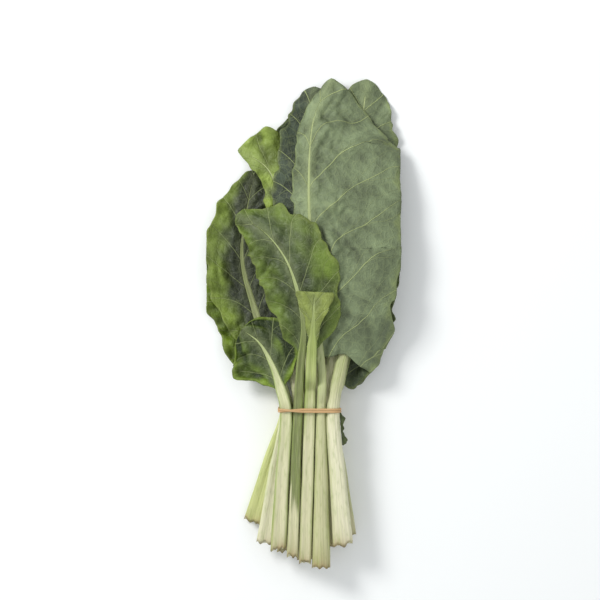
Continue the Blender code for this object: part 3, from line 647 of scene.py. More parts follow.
class Spine:
    """The line of a leaf from the cut end to the tip, with a frame at each point."""

    def __init__(self, leaf, pile):
        x, y, self.butt_width = leaf["butt"]
        tie_x, self.tie_width = leaf["tie"]
        self.back = leaf["back"]
        above = np.array(leaf["spine"], float)
        row = leaf["row"]
        middle = ((x + tie_x) / 2, (y + BAND_Y) / 2, 0.0)
        line = spline([(x, y, 0.0), middle, (tie_x, BAND_Y, 0.0), *above])
        at = arc_length(line)
        self.tie_at = np.hypot(x - tie_x, y - BAND_Y)
        self.base_at = self.tie_at + leaf["base"]
        self.end_at = at[-1]
        self.blade_length = self.end_at - self.base_at
        over = np.where(at < self.base_at, above[0, 2], line[:, 2])
        rest = self.depth_below(at) if row == 0 else ROW_BUTT_Z[row]
        held = smoothstep((at - RESTING_LENGTH) / (self.tie_at - RESTING_LENGTH))
        stiff = rest + (ROW_TIE_Z[row] - rest) * held
        firm = leaf.get("firm", leaf["base"] - LETTING_GO)
        leaves_row = self.tie_at + max(firm, FIRM_ABOVE_BAND)
        free = smoothstep((at - leaves_row) / (self.base_at - leaves_row))
        closest = self.closest_fit(line, at, pile)
        line[:, 2] = stiff + (closest + over - stiff) * free
        sure = smoothstep((at - leaves_row) / (self.base_at - leaves_row) / SURE_SHARE)
        line[:, 2] += sure * (soft_maximum(line[:, 2], closest) - line[:, 2])
        self.line, self.at = line, at
        self.frames()

    def closest_fit(self, line, at, pile):
        """The least height at which the stalk and the blade beside it clear what lies below."""
        forward = unit(np.gradient(line[:, :2], axis=0))
        side = np.stack([forward[:, 1], -forward[:, 0]], axis=1)
        stalk_half = self.width(at) / 2 + STALK_MARGIN
        blade_half = stalk_half + BLADE_MARGIN
        bladed = at > self.base_at - BLADE_AHEAD
        need = self.depth_below(at)
        for share in np.linspace(-1.0, 1.0, FIT_PLACES):
            under = pile.read(pile.near, line[:, :2] + side * (stalk_half * share)[:, None])
            need = np.maximum(need, under + TOUCH_GAP + self.depth_below(at))
            under = pile.read(pile.near, line[:, :2] + side * (blade_half * share)[:, None])
            need = np.where(bladed, np.maximum(need, under + CLEARANCE), need)
        fit = need
        for _ in range(FIT_ROUNDS):
            fit = np.maximum(blurred(fit, FIT_RADIUS), need)
        return blurred(fit, FIT_END)

    def thickness(self, at):
        """Thickness of the stalk and the midrib at a distance from the cut end."""
        flatter = smoothstep((at - self.tie_at) / (self.base_at - self.tie_at + FLATTENING))
        flatness = STALK_FLATNESS + (RIB_FLATNESS - STALK_FLATNESS) * flatter
        return np.minimum(flatness * self.width(at), STALK_THICKEST)

    def width(self, at):
        """Width of the stalk, and past the blade's base of the midrib."""
        stalk = np.interp(at, (0.0, self.tie_at), (self.butt_width, self.tie_width))
        share = np.clip(self.share(at), 0.0, 1.0)
        neck = np.interp(at, (self.tie_at, self.base_at), (1.0, NECK))
        return stalk * neck * (1.0 - RIB_TAPER * share**RIB_TAPER_POWER)

    def depth_below(self, at):
        """How far the stalk reaches below its own line."""
        return self.thickness(at) * (BACK_SHARE if self.back < 0 else FACE_SHARE)

    def frames(self):
        """Across and up directions, carried along the line without twisting."""
        tangent = unit(np.gradient(self.line, axis=0))
        across = np.zeros_like(tangent)
        side = np.array([1.0, 0.0, 0.0])
        for k, forward in enumerate(tangent):
            side = unit(side - forward * (side @ forward))
            across[k] = side
        self.tangent, self.across = tangent, across
        self.up = np.cross(across, tangent)

    def frame(self, at):
        """(points, across, up) at distances from the cut end, straight on past both ends."""
        inside = np.clip(at, 0.0, self.end_at)
        tables = (self.line, self.tangent, self.across, self.up)
        line, tangent, across, up = (read_rows(inside, self.at, table) for table in tables)
        return line + tangent * (at - inside)[..., None], across, up

    def share(self, at):
        """Distance along the blade, as a share of its length."""
        return (at - self.base_at) / self.blade_length

    def rows(self, step):
        """Distances of the blade's rows from the cut end."""
        count = int(self.blade_length / step)
        return np.linspace(self.base_at, self.end_at, count + 1)


def smooth_outline(leaf, share):
    """Half-width of the blade along its midrib, as a share of the widest, with no corners."""
    curve = spline(leaf["outline"], OUTLINE_STEP)
    outline = np.interp(share, curve[:, 0], curve[:, 1])
    fuller = leaf["shoulder"] * np.clip(1.0 - share / SHOULDER_LENGTH, 0.0, 1.0)
    return outline + (1.0 - outline) * fuller


def margin(leaf, share, rows, side, inner, seed):
    """How far the margin is from the midrib at each row, and how far it runs ahead of the row."""
    widest = leaf["left" if side < 0 else "right"][0]
    _, wave, phase = leaf["ruffle"]
    lobes = 2 * np.pi * (rows / (LOBE_LENGTH * wave) + phase + SIDE_SHIFT * side)
    scallop = 1.0 + LOBE_DEPTH * (np.sin(lobes) + SMALL_LOBES * np.sin(SMALLER_BY * lobes))
    plain = smooth_outline(leaf, share)
    crinkle = CRINKLE * hills("crinkle", seed + side, rows, 0.0)
    reach = plain * widest * scallop + crinkle * smoothstep(plain / CRINKLE_FULL)
    reach = np.maximum(reach, inner + LEAST_BLADE * smoothstep((1.0 - share) / LEAST_ENDS))
    base_lean, tip_lean = leaf["lean"]
    lean = base_lean + (tip_lean - base_lean) * smoothstep(share / LEAN_TURNS)
    return reach, lean * reach * smoothstep((1.0 - share) / LEAN_ENDS)


def vein_phase(leaf, out, along, widest, warp):
    """Counts the large side veins: it is a whole number on each."""
    rise = VEIN_SLOPE * out - VEIN_BEND * out**2 / widest
    rise = rise + VEIN_START * (1.0 - np.exp(-out / VEIN_START))
    return (along - rise) / leaf["veins"] + leaf["first_vein"] + VEIN_WANDER * warp


def in_fold(leaf, along, f):
    """1 in the hollow of a rolled margin, 0 outside it."""
    if "fold" not in leaf:
        return 0.0 * f
    low, high, start = leaf["fold"]
    inside = smoothstep((f - low) / FOLD_SLOPE) * smoothstep((high - f) / FOLD_SLOPE)
    return inside * smoothstep((along - start) / FOLD_START)


def creases(leaf, x, y, length, seed):
    """Heights, from -1 to 1, of creases: a valley with a lip on one side of it."""
    draw = np.random.default_rng(seed + CREASE_SEED)
    total = 0.0 * x
    for _ in range(int(length / CREASE_EVERY)):
        middle_x = draw.uniform(-leaf["left"][0], leaf["right"][0])
        middle_y = draw.uniform(CREASES_AFTER, 1.0) * length
        turn = draw.uniform(-CREASE_TURN, CREASE_TURN)
        half = draw.uniform(*CREASE_LENGTH) / 2
        bend = draw.uniform(-CREASE_BEND, CREASE_BEND)
        dx, dy = x - middle_x, y - middle_y
        ahead = dx * np.sin(turn) + dy * np.cos(turn)
        aside = (dx * np.cos(turn) - dy * np.sin(turn) + bend * ahead**2) / CREASE_WIDTH
        lip = LIP_HEIGHT * np.exp(-((aside - LIP_PLACE) ** 2))
        ends = smoothstep((half - np.abs(ahead)) / (half * CREASE_FADE))
        total += (lip - np.exp(-(aside**2))) * ends
    return np.clip(total, -1.0, 1.0)


def relief(leaf, side, x, along, f, clear, veins, length, seed):
    """Heights of pillows between the veins, rumples, puckers, creases, a fold and the frill."""
    body = 0.5 * leaf["back"] * PILLOW * np.cos(2 * np.pi * veins)
    body += RUMPLE * hills("rumple", seed, x, along) + PUCKER * hills("pucker", seed, x, along)
    body += CREASE_DEPTH * creases(leaf, x, along, length, seed)
    frill = FRILL * hills("frill", seed, along, side * FRILL_APART) * f**FRILL_POWER
    return body * clear - FOLD_DEPTH * in_fold(leaf, along, f) + frill


def bent_out(out, inner, f, start_angle, end_angle):
    """How far points are beside the midrib, and over it, where the half bends as it runs out."""
    angle = np.radians(start_angle + (end_angle - start_angle) * (f[:, 1:] + f[:, :-1]) / 2)
    step = np.diff(out, axis=1)
    start = np.zeros((len(out), 1))
    flat = inner[:, None] + np.concatenate([start, np.cumsum(step * np.cos(angle), 1)], 1)
    return flat, np.concatenate([start, np.cumsum(step * np.sin(angle), 1)], 1)


def ruffles(leaf, forward, side):
    """The waves of the margin at distances from the cut end, with smaller ones on them."""
    _, wave, phase = leaf["ruffle"]
    turn = 2 * np.pi * (forward / wave + phase + SIDE_SHIFT * side)
    return np.sin(turn) + SMALL_WAVES * np.sin(SMALLER_BY * turn + SMALL_WAVES_AHEAD)


def settle_half(grid, f, pile):
    """Bends what is past the sides of the bunch down, and lifts the rest clear of the pile."""
    for wall, sign in ((SIDE_LEFT, -1), (SIDE_RIGHT, 1)):
        past = np.maximum(sign * (grid[..., 0] - wall), 0.0)
        grid[..., 0] -= (1.0 - WALL_SPREAD) * sign * past
        grid[..., 2] -= WALL_DROP * past
    floor = pile.read(pile.smooth, grid[..., :2]) + CLEARANCE
    free = smoothstep(f / FREE_OF_RIB)
    grid[..., 2] += free * (soft_maximum(grid[..., 2], floor) - grid[..., 2])
    grid[..., 2] = np.maximum(grid[..., 2], BLADE_THICKNESS / 2)


def half_blade(leaf, spine, pile, rows, side, seed):
    """The left (-1) or right (1) half: a grid of points, and the places on the leaf there."""
    widest, start_angle, end_angle = leaf["left" if side < 0 else "right"]
    share = spine.share(rows)
    inner = np.where(share > RIB_END, 0.0, np.maximum(spine.width(rows) / 2 - ROOT, 0.0))
    reach, ahead = margin(leaf, share, rows, side, inner, seed)
    f = np.linspace(0.0, 1.0, int(widest / BLADE_STEP) + LEAST_COLUMNS)[None, :]
    out = inner[:, None] + (reach - inner)[:, None] * f
    near_base = smoothstep(1.0 - (rows - spine.base_at) / HEM_REACH)[:, None]
    hem = leaf["shoulder"] * near_base * smoothstep(out / HEM_REACH)
    forward = rows[:, None] + ahead[:, None] * f**LEAN_POWER
    forward += HEM_WAVE * hem * hills("hem_wave", seed, out, 0.0)
    x, along = side * out, forward - spine.base_at
    veins = vein_phase(leaf, out, along, widest, hills("vein_warp", seed, x, along))
    clear = smoothstep((out - inner[:, None]) / RIB_CLEAR)
    fine = relief(leaf, side, x, along, f, clear, veins, spine.blade_length, seed)
    waves = leaf["ruffle"][0] * f**2 * ruffles(leaf, forward, side)
    full = smoothstep(reach / FULL_WAVE_REACH)[:, None]
    flat, lift = bent_out(out, inner, f, start_angle, end_angle)
    lift += full * (waves + fine * leaf["crisp"])
    lift += HEM_LIFT * hem * hills("hem_lift", seed, out, 0.0)
    points, across, up = spine.frame(forward)
    grid = points + across * (side * flat)[..., None] + up * lift[..., None]
    settle_half(grid, f, pile)
    where = np.stack([x, along, np.broadcast_to(f, out.shape)], axis=-1)
    lines = np.stack([veins, np.full(out.shape, float(leaf["veins"])), out / widest], axis=-1)
    return grid, where, lines


def sheet_faces(index):
    """The four-cornered faces of a sheet, given as a grid of point numbers."""
    corners = (index[:-1, :-1], index[:-1, 1:], index[1:, 1:], index[1:, :-1])
    return np.stack([c.ravel() for c in corners], axis=1)


def ring_faces(index, ahead):
    """The four-cornered faces from each closed ring of point numbers to the one ahead of it."""
    corners = (index, np.roll(index, 1, 1), np.roll(ahead, 1, 1), ahead)
    return np.stack(corners, axis=-1).reshape(-1, 4)


def blade_mesh(leaf, spine, pile, seed):
    """Points, triangles and places on the leaf of the open sheet, and its two grids."""
    rows = spine.rows(BLADE_STEP)
    halves = [half_blade(leaf, spine, pile, rows, side, seed) for side in (-1, 1)]
    index, size = [], 0
    for grid, _, _ in halves:
        index.append(np.arange(grid[..., 0].size).reshape(grid.shape[:2]) + size)
        size += grid[..., 0].size
    joined = spine.share(rows) > RIB_END
    index[1][joined, 0] = index[0][joined, 0]
    triangles = []
    for side, grid in enumerate(index):
        for corners in ((0, 1, 2), (0, 2, 3)):
            triangles.append(sheet_faces(grid)[:, corners if side else corners[::-1]])
    places = [np.concatenate([half[k].reshape(-1, 3) for half in halves]) for k in range(3)]
    return places, np.concatenate(triangles), [half[0] for half in halves]


def tidy_mesh(name, points, faces, layers):
    """A mesh in metres, with named vector layers on its points, and no loose points."""
    points = points.reshape(-1, 3)
    used = np.zeros(len(points), bool)
    used[np.concatenate([np.ravel(f) for f in faces])] = True
    renumber = np.cumsum(used) - 1
    mesh = bpy.data.meshes.new(name)
    numbered = [renumber[np.asarray(f)].tolist() for f in faces]
    mesh.from_pydata((points[used] * METRE).tolist(), [], numbered)
    for layer, values in layers.items():
        stored = mesh.attributes.new(layer, "FLOAT_VECTOR", "POINT")
        values = values.reshape(-1, 3)[used].astype(np.float32)
        stored.data.foreach_set("vector", values.ravel())
    mesh.shade_smooth()
    return mesh


def add_piece(mesh, node=None):
    """Puts a mesh in the scene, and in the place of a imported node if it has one."""
    piece = bpy.data.objects.new(mesh.name, mesh)
    bpy.context.scene.collection.objects.link(piece)
    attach(piece, "root")
    if node:
        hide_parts(node)
    return piece


def thicken(piece):
    """Gives an open sheet the thickness of a blade, to both sides."""
    shell = piece.modifiers.new("thickness", "SOLIDIFY")
    shell.thickness = BLADE_THICKNESS * METRE
    shell.offset = 0.0
    return shell


def mixed(a, b, share):
    """Colours between a and b, for each point's share of b."""
    return a + (b - a) * np.clip(share, 0.0, 1.0)[..., None]


def blade_tone(leaf, where, lines, length, seed):
    """Colour of each point of a blade: blotched, darkened with painted shade, lighter at the margin
    with painted light, and paler at the midrib.
    """
    x, along, f = where.T
    speck = hills("speck", seed, x, along)
    fringe = hills("fringe", seed, x, along)
    first, last = TONE_TURNS
    # Painted shade: a darker colour near the midrib, turning to the blade's own tone towards the
    # margin
    outward = smoothstep((f + FRINGE * fringe - first) / (last - first))
    tone = mixed(leaf.get("inner", leaf["tone"]), leaf["tone"], outward)
    if "far" in leaf:
        in_shade = smoothstep((x + FAR_FRINGE * fringe - FAR_START) / FAR_WIDTH)
        tone = mixed(tone, leaf["far"], FAR * in_shade)
    # Random blotches and specks, and painted shade and light that follow the pillows between the side
    # veins, the rumples and the creases of the relief
    bright = 1.0 + BLOTCH * hills("blotch", seed, x, along) + SPECK * speck
    bright -= 0.5 * PILLOW_SHADE * np.cos(2 * np.pi * lines[:, 0])
    bright += RUMPLE_SHADE * hills("rumple", seed, x, along)
    bright += CREASE_SHADE * creases(leaf, x, along, length, seed)
    tone = tone * np.maximum(bright, DARKEST)[:, None]
    # Painted light: the thin outermost margin, lit through, is paler
    rim = smoothstep((f + LIT_RIM_FRINGE * speck - LIT_RIM_STARTS) / (1.0 - LIT_RIM_STARTS))
    tone = mixed(tone, LIME, LIT_RIM * rim)
    # Painted shade: near-black green in the hollow of a rolled margin, less in its lower half
    upper = smoothstep((x - FOLD_SHADE_START) / FOLD_SHADE_WIDTH)
    deep = FOLD_SHADE_LEAST + (1.0 - FOLD_SHADE_LEAST) * upper
    tone = mixed(tone, FOLD_SHADE, FOLD_SHADE_STRENGTH * in_fold(leaf, along, f) * deep)
    return mixed(tone, leaf["rib"], MIDDLE * smoothstep(1.0 - np.abs(x) / RIB_CLEAR))


def make_blade(leaf, spine, pile, seed):
    """Makes the blade, with its face and its underside, and lays it on the pile."""
    (points, where, lines), triangles, grids = blade_mesh(leaf, spine, pile, seed)
    tone = blade_tone(leaf, where, lines, spine.blade_length, seed)
    layers = {"leaf_place": where, "leaf_vein": lines, "tone": tone}
    node = leaf["name"] + "_blade"
    mesh = tidy_mesh("fine_" + node, points, triangles, layers)
    sides = [blade_material("leaf_face", -1), blade_material("leaf_underside", 1)]
    for material in sides if leaf["back"] < 0 else sides[::-1]:
        mesh.materials.append(material)
    thicken(add_piece(mesh, node)).material_offset = 1
    for grid in grids:
        pile.lay(grid, BLADE_THICKNESS / 2)


def make_scrap():
    """The torn rest of a blade that clings to the right side of the topmost right stalk."""
    down, out = np.meshgrid(*(np.linspace(0.0, 1.0, n) for n in SCRAP_GRID), indexing="ij")
    width = np.interp(down, *np.array(SCRAP_WIDTHS).T)
    torn = SCRAP_TEAR * hills("torn", SCRAP_SEED, down * SCRAP_SIZE[1], 0.0)
    x = SCRAP_START[0] + (width + torn) * out + (SCRAP_END[0] - SCRAP_START[0]) * down
    y = SCRAP_START[1] + (SCRAP_END[1] - SCRAP_START[1]) * down
    z = SCRAP_HEIGHT + out * (hills("droop", SCRAP_SEED, x, y) - SCRAP_DROP * width)
    where = np.stack([SCRAP_SIZE[0] * out + SCRAP_PLACE, SCRAP_SIZE[1] * down, out], axis=-1)
    lines = np.broadcast_to(SCRAP_VEINS, where.shape)
    layers = {"leaf_place": where, "leaf_vein": lines, "tone": np.broadcast_to(HOLLY, where.shape)}
    faces = np.roll(sheet_faces(np.arange(x.size).reshape(x.shape))[:, ::-1], 1, axis=1)
    mesh = tidy_mesh("torn_scrap", np.stack([x, y, z], axis=-1), faces, layers)
    mesh.materials.append(blade_material("leaf_face", -1))
    thicken(add_piece(mesh))


def stalk_section():
    """Section of a stalk: the turn, and shares of half the width and of the thickness."""
    turn = np.linspace(0.0, 2 * np.pi, STALK_SIDES, endpoint=False)
    u = np.cos(turn)
    back = BACK_SHARE * np.abs(np.sin(turn)) ** BACK_ROUND
    groove = 1.0 - GROOVE_DEPTH * np.exp(-((u / GROOVE_WIDTH) ** 2))
    face = -FACE_SHARE * np.abs(np.sin(turn)) ** FACE_ROUND * groove
    return turn, u, np.where(np.sin(turn) >= 0.0, back, face)


def stalk_sides(spine, at, seed):
    """Rings of the stalk's skin, with its long ribs, and the section's shares."""
    turn, u, v = stalk_section()
    half = spine.width(at)[:, None] / 2
    thick = spine.thickness(at)[:, None]
    uneven = hills("swell", seed, at[:, None], SWELL_ROUND * u[None, :])
    rib_x = ROUND * u[None, :] + RIB_TWIST * at[:, None]
    ribs = hills("ribs", seed, rib_x, ROUND * np.sin(turn)[None, :])
    ribs = RIB_HEIGHT * ribs * smoothstep(half / RIB_FADE) / (half + 1.0)
    swell = 1.0 + SWELL * uneven + ribs
    points, across, up = spine.frame(at)
    side = across[:, None] * (half * u * swell)[..., None]
    rise = up[:, None] * (thick * v * swell * spine.back)[..., None]
    rings = points[:, None] + side + rise
    rings[..., 2] = np.maximum(rings[..., 2], 0.0)
    return rings, u, v


def cut_end(rings, spine, u, v, seed):
    """Makes the first rings uneven, as cut and dried, and returns the rings of the cut face."""
    _, across, up = spine.frame(np.zeros(1))
    ahead = np.cross(up[0], across[0])
    uneven = hills("ragged", seed, u * ROUND, v * ROUND)
    uneven += np.random.default_rng(seed).uniform(-1.0, 1.0) * u
    fade = np.exp(-np.arange(len(rings)) * CUT_FADE)
    rings -= ahead * (uneven[None, :] * fade[:, None])[..., None]
    middle = rings[0].mean(axis=0)
    bulges = ahead * CUT_BULGE * (1.0 - CAP_SHARES[:, None, None]) ** 0.5
    return middle + (rings[0] - middle) * CAP_SHARES[:, None, None] + bulges


def make_stalk(leaf, spine, seed):
    """Makes the stalk with its midrib and cut end, and returns its rings."""
    last = spine.base_at + RIB_END * spine.blade_length
    at = np.linspace(0.0, last, int(last / STALK_STEP) + 1)
    rings, u, v = stalk_sides(spine, at, seed)
    full = np.concatenate([cut_end(rings, spine, u, v, seed), rings])
    count, sides = full.shape[:2]
    index = np.arange(count * sides).reshape(count, sides)
    faces = [*ring_faces(index[:-1], index[1:]), index[0], index[-1][::-1]]
    if spine.back < 0:
        faces = [face[::-1] for face in faces]
    on_cut = (np.arange(count) < len(CAP_SHARES))[:, None]
    size = np.concatenate([CAP_SHARES, np.ones(len(at))])[:, None]
    along = np.concatenate([np.zeros(len(CAP_SHARES)), at])[:, None]
    half, thick = spine.width(0.0) / 2, spine.thickness(0.0)
    place = np.stack(np.broadcast_arrays(u, along, 1.0 - size), axis=-1)
    cut = np.stack(np.broadcast_arrays(size * half * u, size * thick * v, on_cut), axis=-1)
    layers = {"stalk_place": place, "cut_place": cut, "tone": stalk_tone(leaf, spine, place, seed)}
    node = leaf["name"] + "_stalk"
    mesh = tidy_mesh("fine_" + node, full, faces, layers)
    mesh.materials.append(stalk_material())
    add_piece(mesh, node)
    return rings


def stalk_tone(leaf, spine, place, seed):
    """Colour of each point of a stalk: green at its edges and towards the blade."""
    u, at = place[..., 0], place[..., 1]
    uneven = hills("uneven", seed, at, UNEVEN_ROUND * u)
    streak = uneven + STREAK * hills("streak", seed, u, STREAK_STRETCH * at)
    first, last = leaf["turn"]
    upward = smoothstep(((at + TURN_WANDER * streak) / spine.tie_at - first) / (last - first))
    base = mixed(*leaf["stalk"], upward)
    green = leaf["edge"] * smoothstep((np.abs(u) - EDGE_STARTS) / (1.0 - EDGE_STARTS))
    green = green + EDGE_UNEVEN * uneven
    strength, reach = GREEN_ABOVE
    green = green + strength * smoothstep((at - spine.tie_at) / reach)
    base = mixed(base, EDGE_GREEN, EDGE_STRENGTH * green)
    # The midrib's colour above the base, which for the west leaf is painted shade
    strength, reach = RIB_TURN
    base = mixed(base, leaf["rib"], strength * smoothstep((at - spine.base_at) / reach))
    dried = sum(strength * np.exp(-at / reach) for strength, reach in (DRY_CLOSE, DRY_FAR))
    return mixed(base, DRIED, dried * (1.0 + DRY_UNEVEN * uneven))


class Look:
    """A material whose node tree is built by short calls."""

    def __init__(self, name):
        self.material = bpy.data.materials.new(name)
        self.material.use_nodes = True
        self.tree = self.material.node_tree
        self.shader = self.tree.nodes["Principled BSDF"]

    def put(self, socket, value):
        """Links a socket to a socket, or sets it to a number, a vector or a colour."""
        if isinstance(value, bpy.types.NodeSocket):
            self.tree.links.new(value, socket)
        elif socket.type == "RGBA" and len(value) == 3:
            socket.default_value = (*value, 1.0)
        else:
            socket.default_value = value

    def node(self, kind, **inputs):
        made = self.tree.nodes.new("ShaderNode" + kind)
        for key, value in inputs.items():
            self.put(made.inputs[key.replace("_", " ")], value)
        return made

    def operate(self, kind, operation, *values):
        """The result of a node of mathematics on its values."""
        made = self.node(kind)
        made.operation = operation
        for socket, value in zip(made.inputs, values):
            self.put(socket, value)
        return made.outputs[0]

    def math(self, operation, *values):
        return self.operate("Math", operation, *values)

    def times(self, a, b):
        return self.math("MULTIPLY", a, b)

    def scaled(self, value, by, plus):
        return self.math("MULTIPLY_ADD", value, by, plus)

    def layer(self, name):
        """A vector layer of the mesh, stored on its points."""
        made = self.node("Attribute")
        made.attribute_name = name
        return made.outputs["Vector"]

    def parts(self, vector):
        return self.node("SeparateXYZ", Vector=vector).outputs

    def vector(self, x, y, z=0.0):
        return self.node("CombineXYZ", X=x, Y=y, Z=z).outputs[0]

    def rise(self, value, low, high):
        """A smooth rise from 0 at low to 1 at high, or a fall where high is below low."""
        falls = not isinstance(high, bpy.types.NodeSocket) and high < low
        made = self.node("MapRange", Value=value)
        made.interpolation_type = "SMOOTHSTEP"
        self.put(made.inputs["From Min"], high if falls else low)
        self.put(made.inputs["From Max"], low if falls else high)
        self.put(made.inputs["To Min"], float(falls))
        self.put(made.inputs["To Max"], float(not falls))
        return made.outputs[0]

    def mix(self, factor, a, b, blend="MIX"):
        """A colour from a to b by the factor."""
        made = self.node("Mix")
        made.data_type = "RGBA"
        made.blend_type = blend
        for number, value in ((0, factor), (6, a), (7, b)):
            self.put(made.inputs[number], value)
        return made.outputs[2]

    def over(self, colour, other, mask, share):
        """A colour with a share of another over it, where the mask is 1."""
        return self.mix(self.times(mask, share), colour, other)

    def shaded(self, colour, shade):
        return self.mix(1.0, colour, self.vector(shade, shade, shade), "MULTIPLY")

    def noise(self, vector, scale, detail=3.0):
        return self.node("TexNoise", Vector=vector, Scale=scale, Detail=detail).outputs["Fac"]

    def cells(self, vector, scale):
        """Distance to the edges between random cells."""
        made = self.node("TexVoronoi")
        made.feature = "DISTANCE_TO_EDGE"
        self.put(made.inputs["Vector"], vector)
        self.put(made.inputs["Scale"], scale)
        return made.outputs["Distance"]

    def finish(self, colour, roughness, specular=0.4, coat=0.0):
        self.put(self.shader.inputs["Base Color"], colour)
        self.put(self.shader.inputs["Roughness"], roughness)
        self.shader.inputs["Specular IOR Level"].default_value = specular
        self.shader.inputs["Coat Weight"].default_value = coat
        self.shader.inputs["Coat Roughness"].default_value = 0.35
        return self.material

    def bump(self, height, depth):
        """Fine relief, in metres, for what is finer than the mesh."""
        made = self.node("Bump", Strength=1.0, Distance=depth, Height=height)
        self.put(self.shader.inputs["Normal"], made.outputs[0])


def vein_lines(look, phase, spacing, out_share):
    """Masks, from 0 to 1, of the large side veins and of the finer ones that fork from them."""
    fraction = look.math("FRACT", phase)
    width = look.scaled(out_share, -0.8, 1.15)

    def line(distance, thin, wide):
        across = look.times(distance, spacing)
        soft = look.rise(across, look.times(width, thin), look.times(width, wide))
        return look.math("SUBTRACT", 1.0, soft)

    def beside(place, thin, wide):
        return line(look.math("ABSOLUTE", look.math("SUBTRACT", fraction, place)), thin, wide)

    large = line(look.math("PINGPONG", phase, 0.5), 0.3, 1.0)
    upper = beside(look.times(look.rise(out_share, 0.22, 0.8), 0.45), 0.12, 0.6)
    lower = beside(look.scaled(look.rise(out_share, 0.45, 0.95), -0.3, 1.0), 0.12, 0.55)
    return large, look.math("MAXIMUM", upper, lower)


def blade_material(name, proud):
    """Surface of a blade. Proud is 1 where the veins stand out and -1 where they are sunk."""
    if name in bpy.data.materials:
        return bpy.data.materials[name]
    stands_out = proud > 0
    look = Look(name)
    x, along, _ = look.parts(look.layer("leaf_place"))
    phase, spacing, out_share = look.parts(look.layer("leaf_vein"))
    sheet = look.vector(x, along)
    drift = look.node("TexNoise", Vector=sheet, Scale=0.06, Detail=2.0).outputs["Color"]
    sheet = look.operate("VectorMath", "MULTIPLY_ADD", drift, (9.0, 9.0, 0.0), sheet)
    large, small = vein_lines(look, phase, spacing, out_share)
    net = look.cells(sheet, 0.15)
    fine_net = look.cells(sheet, 0.45)
    lines = look.math("MAXIMUM", look.times(large, 0.9), look.times(small, 0.5))
    fine_lines = look.times(look.rise(fine_net, 0.1, 0.02), 0.4)
    net_lines = look.math("MAXIMUM", fine_lines, look.rise(net, 0.06, 0.015))
    patch = look.noise(sheet, 0.09, 6.0)
    tone = look.shaded(look.layer("tone"), look.scaled(patch, 0.7, 0.65))
    paler = look.mix(0.22, tone, VEIN)
    vein = look.mix(0.8, tone, VEIN)
    colour = look.over(tone, paler, net_lines, 0.55 if stands_out else 0.35)
    colour = look.over(colour, vein, lines, 1.0 if stands_out else 0.5)
    cushions = look.times(look.rise(net, 0.0, 0.3), 0.5)
    cushions = look.scaled(look.rise(fine_net, 0.0, 0.25), 0.35, cushions)
    veins = look.math("MAXIMUM", large, look.times(small, 0.5))
    height = look.times(look.math("SUBTRACT", veins, cushions), float(proud))
    look.bump(look.scaled(look.noise(sheet, 1.6), 0.15, height), SKIN_DEPTH)
    roughness = look.scaled(patch, 0.2, 0.5 if stands_out else 0.42)
    return look.finish(colour, roughness, specular=0.35, coat=0.0 if stands_out else 0.05)


def stalk_material():
    """Surface of a stalk: a waxy skin with long fibres, and a wet cut face with dots."""
    name = "stalk_skin"
    if name in bpy.data.materials:
        return bpy.data.materials[name]
    look = Look(name)
    u, along, depth = look.parts(look.layer("stalk_place"))
    x, y, on_cut = look.parts(look.layer("cut_place"))
    face = look.vector(x, y)

    def streaks(across, lengthwise):
        return look.noise(look.vector(look.times(u, across), look.times(along, lengthwise)), 1.0, 4.0)

    fibres = streaks(8.0, 0.025)
    fine = streaks(26.0, 0.05)
    patch = streaks(2.0, 0.08)
    skin = look.shaded(look.layer("tone"), look.scaled(fibres, 0.7, 0.62))
    pale = look.rise(look.scaled(fibres, 0.6, fine), 0.8, 1.0)
    skin = look.over(skin, WHITE_GREEN, pale, 0.5)
    green = look.times(look.rise(patch, 0.48, 0.7), 0.3)
    green = look.scaled(look.rise(fibres, 0.52, 0.7), 0.3, green)
    skin = look.mix(green, skin, EDGE_GREEN)
    dots = look.node("TexVoronoi", Vector=face, Scale=0.42).outputs["Distance"]
    dot = look.rise(dots, 0.32, 0.14)
    pith = look.over(PITH, EDGE_GREEN, dot, 0.6)
    pith = look.over(pith, DRIED, look.rise(look.noise(face, 0.5, 4.0), 0.42, 0.7), 0.55)
    colour = look.over(skin, pith, look.rise(depth, 0.0, 0.12), on_cut)
    height = look.scaled(fine, 0.35, look.times(fibres, 0.8))
    look.bump(look.scaled(dot, look.times(on_cut, -0.3), height), SKIN_DEPTH)
    return look.finish(colour, look.scaled(patch, 0.25, 0.3), specular=0.45, coat=0.1)


def band_material():
    """Tan rubber: matt, slightly dusty, with fine grain."""
    look = Look("band_rubber")
    place = look.node("TexCoord").outputs["Object"]
    colour = look.over(RUBBER, RUBBER_DARK, look.noise(place, 300.0, 4.0), 0.5)
    look.bump(look.noise(place, 1800.0, 2.0), GRAIN_DEPTH)
    return look.finish(colour, 0.55, specular=0.35)


def convex_outline(points):
    """The corners of the convex outline of points in a plane, in order."""
    ordered = sorted(map(tuple, points))
    outline = []
    for run in (ordered, ordered[::-1]):
        side = []
        for p in run:
            while len(side) > 1:
                (ax, ay), (bx, by) = side[-2], side[-1]
                if (bx - ax) * (p[1] - ay) - (by - ay) * (p[0] - ax) > 0:
                    break
                side.pop()
            side.append(p)
        outline += side[:-1]
    return np.array(outline)


def section_at(rings, y):
    """Points (x, z) where the stalk's long edges pass a distance along the bunch."""
    found = []
    for edge in rings.transpose(1, 0, 2):
        k = int(np.argmax(edge[:, 1] > y))
        share = (y - edge[k - 1, 1]) / (edge[k, 1] - edge[k - 1, 1])
        found.append(edge[k - 1, [0, 2]] * (1 - share) + edge[k, [0, 2]] * share)
    return found


